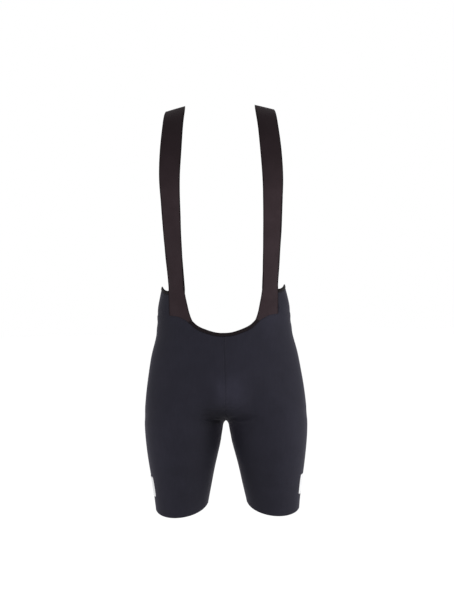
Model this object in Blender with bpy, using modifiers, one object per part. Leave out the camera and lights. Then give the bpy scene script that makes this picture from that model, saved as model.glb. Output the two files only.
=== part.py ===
"""Cycling bib shorts in the shape they take when worn, hollow, in metres, +Z up.

The wearer faces -Y and the garment is symmetric about X = 0. The origin is where the straps lie
on the shoulders, midway between them. Each panel is a grid of points on the worn shape: columns
run from the centre front round the outer side to the centre back, and rows run from the waist
down. Below the crotch the two ends of a row meet at the inseam, so the row is a leg tube.
"""

import math

import bmesh
import bpy
import numpy as np

KNIT_WALL = 0.0014
STRAP_WALL = 0.0016
BINDING_WALL = 0.0024
TAB_WALL = 0.0010
SEAM = 0.0003  # between pieces that are sewn together
BINDING_WIDTH = 0.0076
BINDING_RAISE = 0.0005  # how far a binding stands out from the panel

STRAP_CROWN = 0.0012  # how far the middle of the elastic stands out from its edges
WAIST_VALLEY_Z = -0.3998  # the side edge where it meets a strap
SIDE_RISE = 0.0100  # how much higher the side edge is at the side of the body
HIP_Z = -0.600  # above this level a row is a plain body section
HIP_GATHER = 0.12  # how close the columns over the inner thigh lie at the hips, 0.5 for even
CROTCH_Z = -0.6855
CROTCH_ARCH = 0.0045  # how far the leg's top row drops beside the crotch seam
ARCH_SHARE = 0.05  # the share of a row over which it drops
CROTCH_ROUND = 2.8  # exponent of the seam's curve under the body
THIGH_FRONT = 0.25  # the share of a row from the inseam to the front of the thigh
INSEAM_CLOSING = 0.35  # how much closer together the rows at the inseam start
CROTCH_TOP_Z = -0.615  # the taut cloth about the crotch lies between these levels
CROTCH_FOOT_Z = -0.745
SPAN_SPREAD = 3.0  # how much of that region is free
SHAPED_HOLD = 20.0  # how firmly the cloth keeps its section, against its stiffness of 1
TAUT_HOLD = 0.002  # the same about the crotch, where it spans the gap between the legs
SEWN_HOLD = 1e6
HEM_Z = -0.8741
HEM_OUTWARD_SLOPE = -0.097
HEM_FRONT_DROP = 0.0155
HEM_BACK_LIFT = 0.0090

TAB_TOP_Z = -0.8035
TAB_BOTTOM_Z = -0.8475
TAB_FRONT_ANGLE = math.radians(-26.0)  # round the leg from its outer side
TAB_BACK_ANGLE = math.radians(5.5)

NECK_COLUMNS = 6  # across each half of a neck binding
STRAP_COLUMNS = 5  # across the panel edge under a strap
SIDE_COLUMNS = 10
SIDE_ROWS = 3
BASE_ROWS = SIDE_ROWS + 1  # of a strap between its bottom seam and the side edge
HIP_ROWS = 7
CROTCH_ROWS = 9
LEG_ROWS = 11
STRAP_ROWS = 46
TAB_COLUMNS = 6
TAB_ROWS = 3

FRONT_CORNER = NECK_COLUMNS + STRAP_COLUMNS  # the column at the front strap's outer seam
BACK_CORNER = FRONT_CORNER + SIDE_COLUMNS
COLUMNS = BACK_CORNER + STRAP_COLUMNS + NECK_COLUMNS

NAVY = (0.022, 0.022, 0.031)
STRAP_BROWN = (0.030, 0.020, 0.024)
BINDING_BLACK = (0.010, 0.008, 0.010)
REFLECTIVE_WHITE = (0.80, 0.80, 0.81)


class Table:
    """Rows of named columns, read between the rows by a natural spline over the first column."""

    def __init__(self, columns, rows):
        rows = sorted(rows)
        names = columns.split()
        self.at = np.array([row[0] for row in rows])
        self.values = {name: np.array([row[i] for row in rows]) for i, name in enumerate(names)}
        self.bends = {name: self.bend(values) for name, values in self.values.items()}

    def bend(self, values):
        """The spline's second derivative at each row, nought at both ends."""
        step = np.diff(self.at)
        system = np.eye(len(values))
        slope_change = np.zeros(len(values))
        for i in range(1, len(values) - 1):
            system[i, i - 1 : i + 2] = step[i - 1], 2 * (step[i - 1] + step[i]), step[i]
            rise, next_rise = values[i] - values[i - 1], values[i + 1] - values[i]
            slope_change[i] = 6 * (next_rise / step[i] - rise / step[i - 1])
        return np.linalg.solve(system, slope_change)

    def __call__(self, name, at):
        at = np.clip(np.asarray(at, float), self.at[0], self.at[-1])
        values, bends = self.values[name], self.bends[name]
        i = np.clip(np.searchsorted(self.at, at) - 1, 0, len(self.at) - 2)
        step = self.at[i + 1] - self.at[i]
        after = (at - self.at[i]) / step
        before = 1 - after
        curve = (before**3 - before) * bends[i] + (after**3 - after) * bends[i + 1]
        return before * values[i] + after * values[i + 1] + curve * step**2 / 6


# Body section by level: half width, reach to the front and to the back, and squareness.
BODY = Table(
    "z half_width front back square",
    [
        (-0.340, 0.1330, 0.1045, 0.0980, 2.60),
        (-0.390, 0.1345, 0.1003, 0.0932, 2.58),
        (-0.422, 0.1420, 0.0988, 0.0915, 2.38),
        (-0.448, 0.1462, 0.0985, 0.0911, 2.27),
        (-0.475, 0.1474, 0.0987, 0.0918, 2.23),
        (-0.501, 0.1503, 0.0992, 0.0950, 2.24),
        (-0.528, 0.1578, 0.1000, 0.1020, 2.28),
        (-0.563, 0.1648, 0.1014, 0.1120, 2.30),
        (-0.598, 0.1703, 0.1029, 0.1195, 2.30),
        (-0.645, 0.1763, 0.1035, 0.1232, 2.30),
        (-0.700, 0.1788, 0.0990, 0.1150, 2.30),
    ],
)

# Leg section by level: outer edge, front and back edge, and squareness.
LEG = Table(
    "z outer front back square",
    [
        (-0.600, 0.1703, -0.0990, 0.1120, 2.40),
        (-0.650, 0.1768, -0.0992, 0.1130, 2.40),
        (-0.690, 0.1789, -0.0976, 0.1096, 2.36),
        (-0.725, 0.1773, -0.0945, 0.1030, 2.28),
        (-0.761, 0.1735, -0.0898, 0.0945, 2.20),
        (-0.796, 0.1682, -0.0835, 0.0850, 2.13),
        (-0.831, 0.1628, -0.0757, 0.0760, 2.08),
        (-0.869, 0.1585, -0.0675, 0.0680, 2.05),
        (-0.900, 0.1555, -0.0620, 0.0630, 2.05),
    ],
)

# The leg's inner edge by level, from the crotch seam down.
INSEAM = Table(
    "z x",
    [
        (-0.6855, 0.0000),
        (-0.6885, 0.0034),
        (-0.6948, 0.0058),
        (-0.7080, 0.0085),
        (-0.7256, 0.0114),
        (-0.7430, 0.0152),
        (-0.7610, 0.0196),
        (-0.7960, 0.0280),
        (-0.8310, 0.0353),
        (-0.8690, 0.0434),
        (-0.9000, 0.0485),
    ],
)

# Where the knit panel is sewn to the neck binding and the strap, from the centre outwards.
FRONT_SEWN = [
    (0.0000, -0.4992),
    (0.0203, -0.4973),
    (0.0482, -0.4882),
    (0.0643, -0.4786),
    (0.0758, -0.4682),
    (0.0897, -0.4597),
    (0.1003, -0.4556),
    (0.1168, -0.4533),
]
BACK_SEWN = [
    (0.0000, -0.5067),
    (0.0216, -0.5046),
    (0.0513, -0.4948),
    (0.0685, -0.4843),
    (0.0805, -0.4730),
    (0.0945, -0.4636),
    (0.1050, -0.4590),
    (0.1210, -0.4562),
]
FRONT_JUNCTION = 4  # the row above where the binding ends and the strap begins
BACK_JUNCTION = 4

# The open edge of the neck binding, from the centre to the strap.
FRONT_NECK = [(0.0000, -0.4918), (0.0191, -0.4901), (0.0452, -0.4812), (0.0592, -0.4732), (0.0675, -0.4648)]
BACK_NECK = [(0.0000, -0.4992), (0.0204, -0.4972), (0.0482, -0.4876), (0.0633, -0.4786), (0.0722, -0.4693)]

# The strap's edges at its let-in base, by level: the neck side and the outer seam.
FRONT_BASE = Table(
    "z inner outer",
    [
        (-0.4648, 0.0675, 0.1168),
        (-0.4562, 0.0709, 0.1168),
        (-0.4477, 0.0734, 0.1169),
        (-0.4306, 0.0772, 0.1172),
        (-0.4134, 0.0808, 0.1176),
        (-0.3998, 0.0831, 0.1180),
    ],
)
BACK_BASE = Table(
    "z inner outer",
    [
        (-0.4693, 0.0722, 0.1209),
        (-0.4600, 0.0758, 0.1210),
        (-0.4500, 0.0787, 0.1211),
        (-0.4311, 0.0828, 0.1214),
        (-0.4129, 0.0860, 0.1220),
        (-0.3998, 0.0873, 0.1226),
    ],
)

# The free elastic, from the front waist over the shoulder to the back waist: where its middle
# runs, its two edges, and how much it turns away towards the outer edge.
STRAP = Table(
    "step y z inner outer turn",
    [
        (0, -0.0788, -0.3998, 0.0831, 0.1180, 36.0),
        (1, -0.0802, -0.3790, 0.0843, 0.1186, 36.0),
        (2, -0.0870, -0.3026, 0.0865, 0.1244, 30.0),
        (3, -0.0942, -0.2262, 0.0880, 0.1293, 20.0),
        (4, -0.0985, -0.1623, 0.0877, 0.1323, 9.0),
        (5, -0.0925, -0.0960, 0.0838, 0.1294, 6.0),
        (6, -0.0680, -0.0400, 0.0807, 0.1242, 9.0),
        (7, -0.0370, -0.0115, 0.0785, 0.1210, 12.0),
        (8, 0.0000, 0.0000, 0.0765, 0.1183, 15.0),
        (9, 0.0380, -0.0100, 0.0793, 0.1213, 14.0),
        (10, 0.0700, -0.0370, 0.0847, 0.1275, 12.0),
        (11, 0.0930, -0.0880, 0.0900, 0.1337, 8.0),
        (12, 0.1030, -0.1550, 0.0953, 0.1390, 8.0),
        (13, 0.0965, -0.2262, 0.0953, 0.1367, 18.0),
        (14, 0.0850, -0.3026, 0.0930, 0.1310, 30.0),
        (15, 0.0730, -0.3790, 0.0880, 0.1235, 36.0),
        (16, 0.0703, -0.3998, 0.0873, 0.1226, 36.0),
    ],
)
BASE_BLEND = 0.060  # the height over which the elastic leaves the body's own section


def smoothstep(u):
    u = np.clip(u, 0.0, 1.0)
    return u * u * (3 - 2 * u)


def mix(a, b, share):
    return a + (b - a) * share


def power(value, exponent):
    return np.sign(value) * np.abs(value) ** exponent


def body_point(t, z):
    """A point of half the body's section: t is 0 at the centre front and 1 at the centre back."""
    angle = math.pi * (t - 0.5)
    exponent = 2 / BODY("square", z)
    x = BODY("half_width", z) * power(np.cos(angle), exponent)
    reach = np.where(angle < 0, BODY("front", z), BODY("back", z))
    return x, reach * power(np.sin(angle), exponent)


def body_share(x, z, side):
    """The t of the body section's point at half width x: side is -1 in front and 1 behind."""
    ratio = np.clip(x / BODY("half_width", z), 0.0, 1.0)
    angle = np.arccos(ratio ** (BODY("square", z) / 2))
    return 0.5 + side * angle / math.pi


def on_body(x, z, side):
    """Points of the worn surface at half width x and level z."""
    _, y = body_point(body_share(x, z, side), z)
    return np.stack(np.broadcast_arrays(x, y, z), axis=-1)


def leg_point(t, z):
    """A point of the leg's section: t is 0 and 1 at the inseam and 0.5 at the outer side."""
    angle = 2 * math.pi * (t - 0.5)
    exponent = 2 / LEG("square", z)
    inner, outer, front, back = INSEAM("x", z), LEG("outer", z), LEG("front", z), LEG("back", z)
    x = (inner + outer) / 2 + (outer - inner) / 2 * power(np.cos(angle), exponent)
    y = (front + back) / 2 + (back - front) / 2 * power(np.sin(angle), exponent)
    return x, y


def along(points, places):
    """Points of a smooth curve through the given ones and their mirror images, level at the centre.

    places count its rows, 0 for the first.
    """
    mirrored = [(-i, -x, z) for i, (x, z) in enumerate(points) if i > 0]
    curve = Table("row x z", [(i, x, z) for i, (x, z) in enumerate(points)] + mirrored)
    return curve("x", places), curve("z", places)


def sewn_line(points, junction):
    """The panel's edge under one neck binding and strap, as x and z for each column."""
    neck = np.linspace(0, junction, NECK_COLUMNS + 1)
    strap = np.linspace(junction, len(points) - 1, STRAP_COLUMNS + 1)
    return along(points, np.concatenate([neck, strap[1:]]))


def side_edge_z(u):
    """The level of the raised side edge: u runs from the front strap to the back one."""
    return WAIST_VALLEY_Z + SIDE_RISE * np.sin(math.pi * u) ** 2


def side_share(u, z):
    """The body's t at u of the way from the front strap's outer seam to the back one's."""
    front = body_share(FRONT_BASE("outer", z), z, -1)
    back = body_share(BACK_BASE("outer", z), z, 1)
    return mix(front, back, u)


def grid_of(x, y, z):
    return np.stack(np.broadcast_arrays(x, y, z), axis=-1)


def waist_row():
    """The row under the neck bindings and straps: t and z for each column."""
    front_x, front_z = sewn_line(FRONT_SEWN, FRONT_JUNCTION)
    back_x, back_z = sewn_line(BACK_SEWN, BACK_JUNCTION)
    u = np.linspace(0, 1, SIDE_COLUMNS + 1)[1:-1]
    side_z = mix(front_z[-1], back_z[-1], smoothstep(u))
    z = np.concatenate([front_z, side_z, back_z[::-1]])
    front_t = body_share(front_x, front_z, -1)
    back_t = body_share(back_x, back_z, 1)
    return np.concatenate([front_t, side_share(u, side_z), back_t[::-1]]), z


def side_grid():
    """The panel between the straps, from the side binding down to the waist row."""
    u = np.linspace(0, 1, SIDE_COLUMNS + 1)[None, :]
    share = np.linspace(0, 1, SIDE_ROWS + 1)[:, None]
    _, waist_z = waist_row()
    z = mix(side_edge_z(u) - BINDING_WIDTH, waist_z[None, FRONT_CORNER : BACK_CORNER + 1], share)
    x, y = body_point(side_share(u, z), z)
    return grid_of(x, y, z)


def hip_share(t):
    """The t on the body's section that lies above t on the leg's section."""
    fold = np.minimum(t, 1 - t)
    near = fold * (2 * HIP_GATHER + (2 - 4 * HIP_GATHER) * fold)
    return np.where(t < 0.5, near, 1 - near)


def hip_grid():
    """From the waist row down to the hips, where the columns are evenly spread."""
    waist_t, waist_z = waist_row()
    share = np.linspace(0, 1, HIP_ROWS + 1)[:, None]
    hip_t = hip_share(np.linspace(0, 1, COLUMNS + 1))[None, :]
    z = mix(waist_z[None, :], HIP_Z, share)
    t = mix(waist_t[None, :], hip_t, smoothstep(share))
    x, y = body_point(t, z)
    return grid_of(x, y, z)


def crotch_ring_z(t):
    """The level of the leg's top row, which drops beside the crotch seam."""
    beside = smoothstep(np.minimum(t, 1 - t) / ARCH_SHARE)
    return CROTCH_Z - CROTCH_ARCH * beside


def crotch_grid():
    """From the hips to the leg's top row: the row ends follow the seam under the body."""
    t = np.linspace(0, 1, COLUMNS + 1)[None, :]
    share = np.linspace(0, 1, CROTCH_ROWS + 1)[:, None]
    quarter = share * math.pi / 2
    seam_down = np.sin(quarter) ** (2 / CROTCH_ROUND)
    seam_under = 1 - np.clip(np.cos(quarter), 0, 1) ** (2 / CROTCH_ROUND)
    at_seam = 1 - smoothstep(np.minimum(t, 1 - t) / THIGH_FRONT)
    down = mix(share, seam_down, at_seam)
    under = mix(smoothstep(share), seam_under, at_seam)
    z = mix(HIP_Z, crotch_ring_z(t), down)
    body_x, body_y = body_point(hip_share(t), z)
    leg_x, leg_y = leg_point(t, z)
    return grid_of(mix(body_x, leg_x, under), mix(body_y, leg_y, under), z)


def hem_z(t):
    """The hem's level round the leg: lower in front than at the sides."""
    x, _ = leg_point(t, HEM_Z)
    turn = np.sin(2 * math.pi * (t - 0.5))
    middle = (INSEAM("x", HEM_Z) + LEG("outer", HEM_Z)) / 2
    lift = np.where(turn < 0, HEM_FRONT_DROP, HEM_BACK_LIFT) * turn * np.abs(turn) ** 0.25
    return HEM_Z + HEM_OUTWARD_SLOPE * (x - middle) + lift


def leg_grid():
    """The leg tube from the crotch row to the hem, with closer rows beside the crotch."""
    t = np.linspace(0, 1, COLUMNS + 1)[None, :]
    share = np.linspace(0, 1, LEG_ROWS + 1)[:, None]
    inside = 1 - smoothstep(np.minimum(t, 1 - t) / THIGH_FRONT)
    z = mix(crotch_ring_z(t), hem_z(t), share ** (1 + INSEAM_CLOSING * inside))
    x, y = leg_point(t, z)
    return grid_of(x, y, z)


def taut(grid):
    """The panel bent as evenly as taut knit: its edges stay, and it spans freely at the crotch."""
    t = np.linspace(0, 1, COLUMNS + 1)[None, :]
    z = grid[..., 2]
    inside = 1 - smoothstep(np.minimum(t, 1 - t) / THIGH_FRONT)
    middle = (CROTCH_TOP_Z + CROTCH_FOOT_Z) / 2
    level = 1 - smoothstep(np.abs(z - middle) / (CROTCH_TOP_Z - middle))
    free = np.clip(SPAN_SPREAD * inside * level, 0, 1)
    hold = SHAPED_HOLD * (TAUT_HOLD / SHAPED_HOLD) ** free
    hold[[0, -1]] = SEWN_HOLD
    hold[:, [0, -1]] = SEWN_HOLD
    rows, columns = (np.eye(count) for count in hold.shape)
    row_slope, column_slope = (np.diff(even, 1, axis=0) for even in (rows, columns))
    row_bend, column_bend = (np.diff(even, 2, axis=0) for even in (rows, columns))
    stiffness = np.kron(row_bend.T @ row_bend, columns) + np.kron(rows, column_bend.T @ column_bend)
    stiffness += 2 * np.kron(row_slope.T @ row_slope, column_slope.T @ column_slope)
    kept = hold.reshape(-1, 1) * grid.reshape(-1, 3)
    return np.linalg.solve(stiffness + np.diag(hold.ravel()), kept).reshape(grid.shape)


def panel_grid():
    """The knit from the waist row to the hem, as one grid."""
    return taut(np.concatenate([hip_grid()[:-1], crotch_grid()[:-1], leg_grid()]))


def neck_band(sewn, neck, junction, side):
    """One neck binding over the full width, from the sewn line up to the open edge."""
    sewn_x, sewn_z = along(sewn, np.linspace(0, junction, NECK_COLUMNS + 1))
    neck_x, neck_z = along(neck, np.linspace(0, len(neck) - 1, NECK_COLUMNS + 1))
    gap = SEAM / BINDING_WIDTH
    share = np.array([1.0, 0.5, gap])[:, None]
    x = mix(sewn_x[None, :], neck_x[None, :], share)
    z = mix(sewn_z[None, :], neck_z[None, :], share)
    half = on_body(x, z, side)
    other = half[:, :0:-1] * (-1, 1, 1)
    whole = np.concatenate([other, half], axis=1)
    return whole if side < 0 else whole[:, ::-1]


def side_band():
    """The binding of the raised side edge, from the open edge down to the panel."""
    u = np.linspace(0, 1, SIDE_COLUMNS + 1)[None, :]
    drop = np.array([0.0, 0.5, 1.0])[:, None] * (BINDING_WIDTH - SEAM)
    z = side_edge_z(u) - drop
    x, y = body_point(side_share(u, z), z)
    return grid_of(x, y, z)


def strap_base(sewn, neck, junction, base, side):
    """The let-in end of a strap: rows from its bottom seam up to the side edge's valley."""
    sewn_x, sewn_z = sewn_line(sewn, junction)
    bottom_x = np.concatenate([[neck[-1][0]], sewn_x[NECK_COLUMNS:]])
    bottom_z = np.concatenate([[neck[-1][1]], sewn_z[NECK_COLUMNS:]]) + SEAM
    bottom_x[-1] -= SEAM
    across = np.linspace(0, 1, STRAP_COLUMNS + 2)
    panel_top = WAIST_VALLEY_Z - BINDING_WIDTH
    outer_levels = np.append(np.linspace(sewn_z[-1] + SEAM, panel_top, SIDE_ROWS + 1), WAIST_VALLEY_Z)
    inner_levels = np.linspace(bottom_z[0], WAIST_VALLEY_Z, BASE_ROWS + 1)
    sag_x = bottom_x - mix(bottom_x[0], bottom_x[-1], across)
    sag_z = bottom_z - mix(bottom_z[0], bottom_z[-1], across)
    rows = []
    for row, (inner_z, outer_z) in enumerate(zip(inner_levels, outer_levels)):
        fade = (1 - row / BASE_ROWS) ** 2
        inner_x = base("inner", inner_z)
        outer_x = base("outer", outer_z) - SEAM
        x = mix(inner_x, outer_x, across) + fade * sag_x
        z = mix(inner_z, outer_z, across) + fade * sag_z
        rows.append(on_body(x, z, side))
    return np.array(rows)


def strap_free():
    """The elastic from one waist base over the shoulder to the other, without its end rows."""
    step = np.linspace(0, STRAP.at[-1], STRAP_ROWS + 1)[1:-1, None]
    across = np.linspace(0, 1, STRAP_COLUMNS + 2)[None, :]
    small = 0.01
    run_y = STRAP("y", step + small) - STRAP("y", step - small)
    run_z = STRAP("z", step + small) - STRAP("z", step - small)
    run = np.hypot(run_y, run_z)
    out_y, out_z = -run_z / run, run_y / run
    width = STRAP("outer", step) - STRAP("inner", step)
    x = STRAP("inner", step) + width * across
    fall = np.tan(np.radians(STRAP("turn", step))) * width * (across - 0.5)
    stand = STRAP_CROWN * np.abs(out_y) * (1 - (2 * across - 1) ** 2) - fall
    y = STRAP("y", step) + out_y * stand
    z = STRAP("z", step) + out_z * stand
    side = np.where(step < STRAP.at[-1] / 2, -1.0, 1.0)
    leaving = smoothstep((STRAP("z", step) - WAIST_VALLEY_Z) / BASE_BLEND)
    body = on_body(x, np.minimum(z, WAIST_VALLEY_Z + BASE_BLEND), side)
    free = grid_of(x, y, z)
    body[..., 2] = free[..., 2]
    return mix(body, free, leaving[..., None])


def strap_grid():
    """A whole strap, from the front seam over the shoulder to the back seam."""
    front = strap_base(FRONT_SEWN, FRONT_NECK, FRONT_JUNCTION, FRONT_BASE, -1)
    back = strap_base(BACK_SEWN, BACK_NECK, BACK_JUNCTION, BACK_BASE, 1)
    return np.concatenate([front, strap_free(), back[::-1]])


def outward(grid):
    """Unit normals of a grid whose columns run outwards from the centre and rows run down."""
    across = np.gradient(grid, axis=1)
    down = np.gradient(grid, axis=0)
    normal = np.cross(down, across)
    return normal / np.linalg.norm(normal, axis=-1, keepdims=True)


def tab_grid():
    """The reflective tab, moved out from the leg's points."""
    angle = np.linspace(TAB_FRONT_ANGLE, TAB_BACK_ANGLE, TAB_COLUMNS + 1)[None, :]
    z = np.linspace(TAB_TOP_Z, TAB_BOTTOM_Z, TAB_ROWS + 1)[:, None]
    x, y = leg_point(0.5 + angle / (2 * math.pi), z)
    grid = grid_of(x, y, z)
    return grid + outward(grid) * (SEAM + TAB_WALL)


def new_material(name, colour, roughness):
    material = bpy.data.materials.new(name)
    material.use_nodes = True
    surface = material.node_tree.nodes["Principled BSDF"]
    surface.inputs["Base Color"].default_value = (*colour, 1.0)
    surface.inputs["Roughness"].default_value = roughness
    material.diffuse_color = (*colour, 1.0)
    return material


def cloth(name, grids, wall, material, mirrored=False):
    """A wall of even thickness inside the surface that the grids give, as one object."""
    shape = bmesh.new()
    for grid in grids:
        points = grid * (-1, 1, 1) if mirrored else grid
        rows, columns = points.shape[:2]
        verts = [[shape.verts.new(point) for point in row] for row in points]
        for row in range(rows - 1):
            for column in range(columns - 1):
                a, b = verts[row][column], verts[row][column + 1]
                c, d = verts[row + 1][column + 1], verts[row + 1][column]
                shape.faces.new((a, b, c, d) if mirrored else (d, c, b, a))
    bmesh.ops.remove_doubles(shape, verts=shape.verts, dist=1e-6)
    mesh = bpy.data.meshes.new(name)
    shape.to_mesh(mesh)
    shape.free()
    mesh.shade_smooth()
    mesh.materials.append(material)
    piece = bpy.data.objects.new(name, mesh)
    garment.objects.link(piece)
    solid = piece.modifiers.new("wall", "SOLIDIFY")
    solid.thickness = wall
    solid.offset = -1
    return piece


def clear_of_centre(grid):
    """The grid with its centre seam half a gap from X = 0."""
    grid = grid.copy()
    grid[..., 0] = np.maximum(grid[..., 0], SEAM / 2)
    return grid


def raised(grid):
    return grid + outward(grid) * BINDING_RAISE


for old in list(bpy.data.objects):
    bpy.data.objects.remove(old, do_unlink=True)
garment = bpy.data.collections.new("Cycling bib shorts")
bpy.context.scene.collection.children.link(garment)

knit = new_material("navy knit", NAVY, 0.75)
elastic = new_material("strap elastic", STRAP_BROWN, 0.80)
binding = new_material("dark binding", BINDING_BLACK, 0.70)
reflective = new_material("reflective white", REFLECTIVE_WHITE, 0.45)

panel = [clear_of_centre(grid) for grid in (side_grid(), panel_grid())]
for name, mirrored in (("left", False), ("right", True)):
    cloth(f"shorts_{name}", panel, KNIT_WALL, knit, mirrored)
    cloth(f"strap_{name}", [strap_grid()[::-1]], STRAP_WALL, elastic, mirrored)
    cloth(f"side_binding_{name}", [raised(side_band())], BINDING_WALL, binding, mirrored)
    cloth(f"reflective_tab_{name}", [tab_grid()], TAB_WALL, reflective, mirrored)
front_band = neck_band(FRONT_SEWN, FRONT_NECK, FRONT_JUNCTION, -1)
back_band = neck_band(BACK_SEWN, BACK_NECK, BACK_JUNCTION, 1)
cloth("front_binding", [raised(front_band)], BINDING_WALL, binding)
cloth("back_binding", [raised(back_band)], BINDING_WALL, binding)
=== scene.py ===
"""Looks of the cycling bib shorts: knit, elastic, bindings, stitching, creases, light and camera.

The wearer faces -Y, their left is +X, and the origin is where the straps lie on the shoulders.
The cloth has the solids' own form, drawn from the same sizes at a finer spacing. The seams' dips,
the creases and the thread are laid on it. Lengths are in metres.
"""

import collections
import math

import bmesh
import bpy
import numpy as np
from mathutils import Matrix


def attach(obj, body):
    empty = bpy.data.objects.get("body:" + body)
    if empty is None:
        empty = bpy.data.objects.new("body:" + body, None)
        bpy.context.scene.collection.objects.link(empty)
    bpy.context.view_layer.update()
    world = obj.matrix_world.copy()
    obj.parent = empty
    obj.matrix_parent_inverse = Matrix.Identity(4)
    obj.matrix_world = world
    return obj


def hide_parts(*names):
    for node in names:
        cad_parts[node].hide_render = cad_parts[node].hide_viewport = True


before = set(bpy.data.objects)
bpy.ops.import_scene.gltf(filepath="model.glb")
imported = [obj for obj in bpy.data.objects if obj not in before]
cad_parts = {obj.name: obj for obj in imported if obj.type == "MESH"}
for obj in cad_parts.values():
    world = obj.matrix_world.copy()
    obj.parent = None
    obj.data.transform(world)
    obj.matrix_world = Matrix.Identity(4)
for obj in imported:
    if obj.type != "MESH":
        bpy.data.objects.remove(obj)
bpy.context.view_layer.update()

# ---- The worn form: the sizes and sections of the solids ----

KNIT_WALL = 0.0014
STRAP_WALL = 0.0016
BINDING_WALL = 0.0024
TAB_WALL = 0.0007
SEAM = 0.00003  # between pieces that are sewn together
BINDING_WIDTH = 0.0076

STRAP_CROWN = 0.0012  # how far the middle of the elastic stands out from its edges
WAIST_VALLEY_Z = -0.3998  # the side edge where it meets a strap
SIDE_RISE = 0.0100  # how much higher the side edge is at the side of the body
HIP_Z = -0.600  # above this level a row is a plain body section
HIP_GATHER = 0.12  # how close the columns over the inner thigh lie at the hips, 0.5 for even
CROTCH_Z = -0.6855
CROTCH_ARCH = 0.0045  # how far the leg's top row drops beside the crotch seam
ARCH_SHARE = 0.05  # the share of a row over which it drops
CROTCH_ROUND = 2.8  # exponent of the seam's curve under the body
THIGH_FRONT = 0.25  # the share of a row from the inseam to the front of the thigh
INSEAM_CLOSING = 0.35  # how much closer together the rows at the inseam start
CROTCH_TOP_Z = -0.615  # the taut cloth about the crotch lies between these levels
CROTCH_FOOT_Z = -0.745
SPAN_SPREAD = 3.0  # how much of that region is free
SHAPED_HOLD = 20.0  # how firmly the cloth keeps its section, against its stiffness of 1
TAUT_HOLD = 0.002  # the same about the crotch, where it spans the gap between the legs
SEWN_HOLD = 1e6
HEM_Z = -0.8741
HEM_OUTWARD_SLOPE = -0.097
HEM_FRONT_DROP = 0.0155
HEM_BACK_LIFT = 0.0090
HEM_BEND = 0.25  # how much of the drop and the lift lies at the middle of front and back

TAB_TOP_Z = -0.8035
TAB_BOTTOM_Z = -0.8475
TAB_FRONT_ANGLE = math.radians(-26.0)  # round the leg from its outer side
TAB_BACK_ANGLE = math.radians(5.5)

NECK_COLUMNS = 6  # across each half of a neck binding
STRAP_COLUMNS = 5  # across the panel edge under a strap
SIDE_COLUMNS = 10
SIDE_ROWS = 3
BASE_ROWS = SIDE_ROWS + 1  # of a strap between its bottom seam and the side edge
HIP_ROWS = 7
CROTCH_ROWS = 9
LEG_ROWS = 11
STRAP_ROWS = 46

FRONT_CORNER = NECK_COLUMNS + STRAP_COLUMNS  # the column at the front strap's outer seam
BACK_CORNER = FRONT_CORNER + SIDE_COLUMNS
COLUMNS = BACK_CORNER + STRAP_COLUMNS + NECK_COLUMNS


def smoothstep(u):
    u = np.clip(u, 0.0, 1.0)
    return u * u * (3 - 2 * u)


def mix(a, b, share):
    return a + (b - a) * share


def power(value, exponent):
    return np.sign(value) * np.abs(value) ** exponent


def row_shares(count):
    """Even shares along a row, from 0 to 1."""
    return np.linspace(0, 1, count + 1)[None, :]


def column_shares(count):
    return np.linspace(0, 1, count + 1)[:, None]


def turned(grid):
    """The grid with its rows as columns."""
    return np.swapaxes(grid, 0, 1)


def spline(at, values, places):
    """Rows of values, given at the places in at, read at other places by a natural spline."""
    at, values = np.asarray(at, float), np.asarray(values, float)
    flat = values.reshape(len(at), -1)
    step = np.diff(at)
    system = np.eye(len(at))
    change = np.zeros_like(flat)
    for i in range(1, len(at) - 1):
        system[i, i - 1 : i + 2] = step[i - 1], 2 * (step[i - 1] + step[i]), step[i]
        change[i] = 6 * ((flat[i + 1] - flat[i]) / step[i] - (flat[i] - flat[i - 1]) / step[i - 1])
    bends = np.linalg.solve(system, change)
    places = np.clip(np.asarray(places, float), at[0], at[-1])
    i = np.clip(np.searchsorted(at, places.ravel()) - 1, 0, len(at) - 2)
    length = step[i][:, None]
    after = (places.ravel() - at[i])[:, None] / length
    before = 1 - after
    bent = (before**3 - before) * bends[i] + (after**3 - after) * bends[i + 1]
    read = before * flat[i] + after * flat[i + 1] + bent * length**2 / 6
    return read.reshape(places.shape + values.shape[1:])


class Table:
    """Rows of named columns, read between the rows by a spline over the first column."""

    def __init__(self, columns, rows):
        rows = sorted(rows)
        self.at = [row[0] for row in rows]
        self.values = {name: [row[i] for row in rows] for i, name in enumerate(columns.split())}

    def __call__(self, name, at):
        return spline(self.at, self.values[name], at)


# Body section by level: half width, reach to the front and to the back, and squareness.
BODY = Table("z half_width front back square", [
    (-0.340, 0.1330, 0.1045, 0.0980, 2.60),
    (-0.390, 0.1345, 0.1003, 0.0932, 2.58),
    (-0.422, 0.1420, 0.0988, 0.0915, 2.38),
    (-0.448, 0.1462, 0.0985, 0.0911, 2.27),
    (-0.475, 0.1474, 0.0987, 0.0918, 2.23),
    (-0.501, 0.1503, 0.0992, 0.0950, 2.24),
    (-0.528, 0.1578, 0.1000, 0.1020, 2.28),
    (-0.563, 0.1648, 0.1014, 0.1120, 2.30),
    (-0.598, 0.1703, 0.1029, 0.1195, 2.30),
    (-0.645, 0.1763, 0.1035, 0.1232, 2.30),
    (-0.700, 0.1788, 0.0990, 0.1150, 2.30),
])

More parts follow.
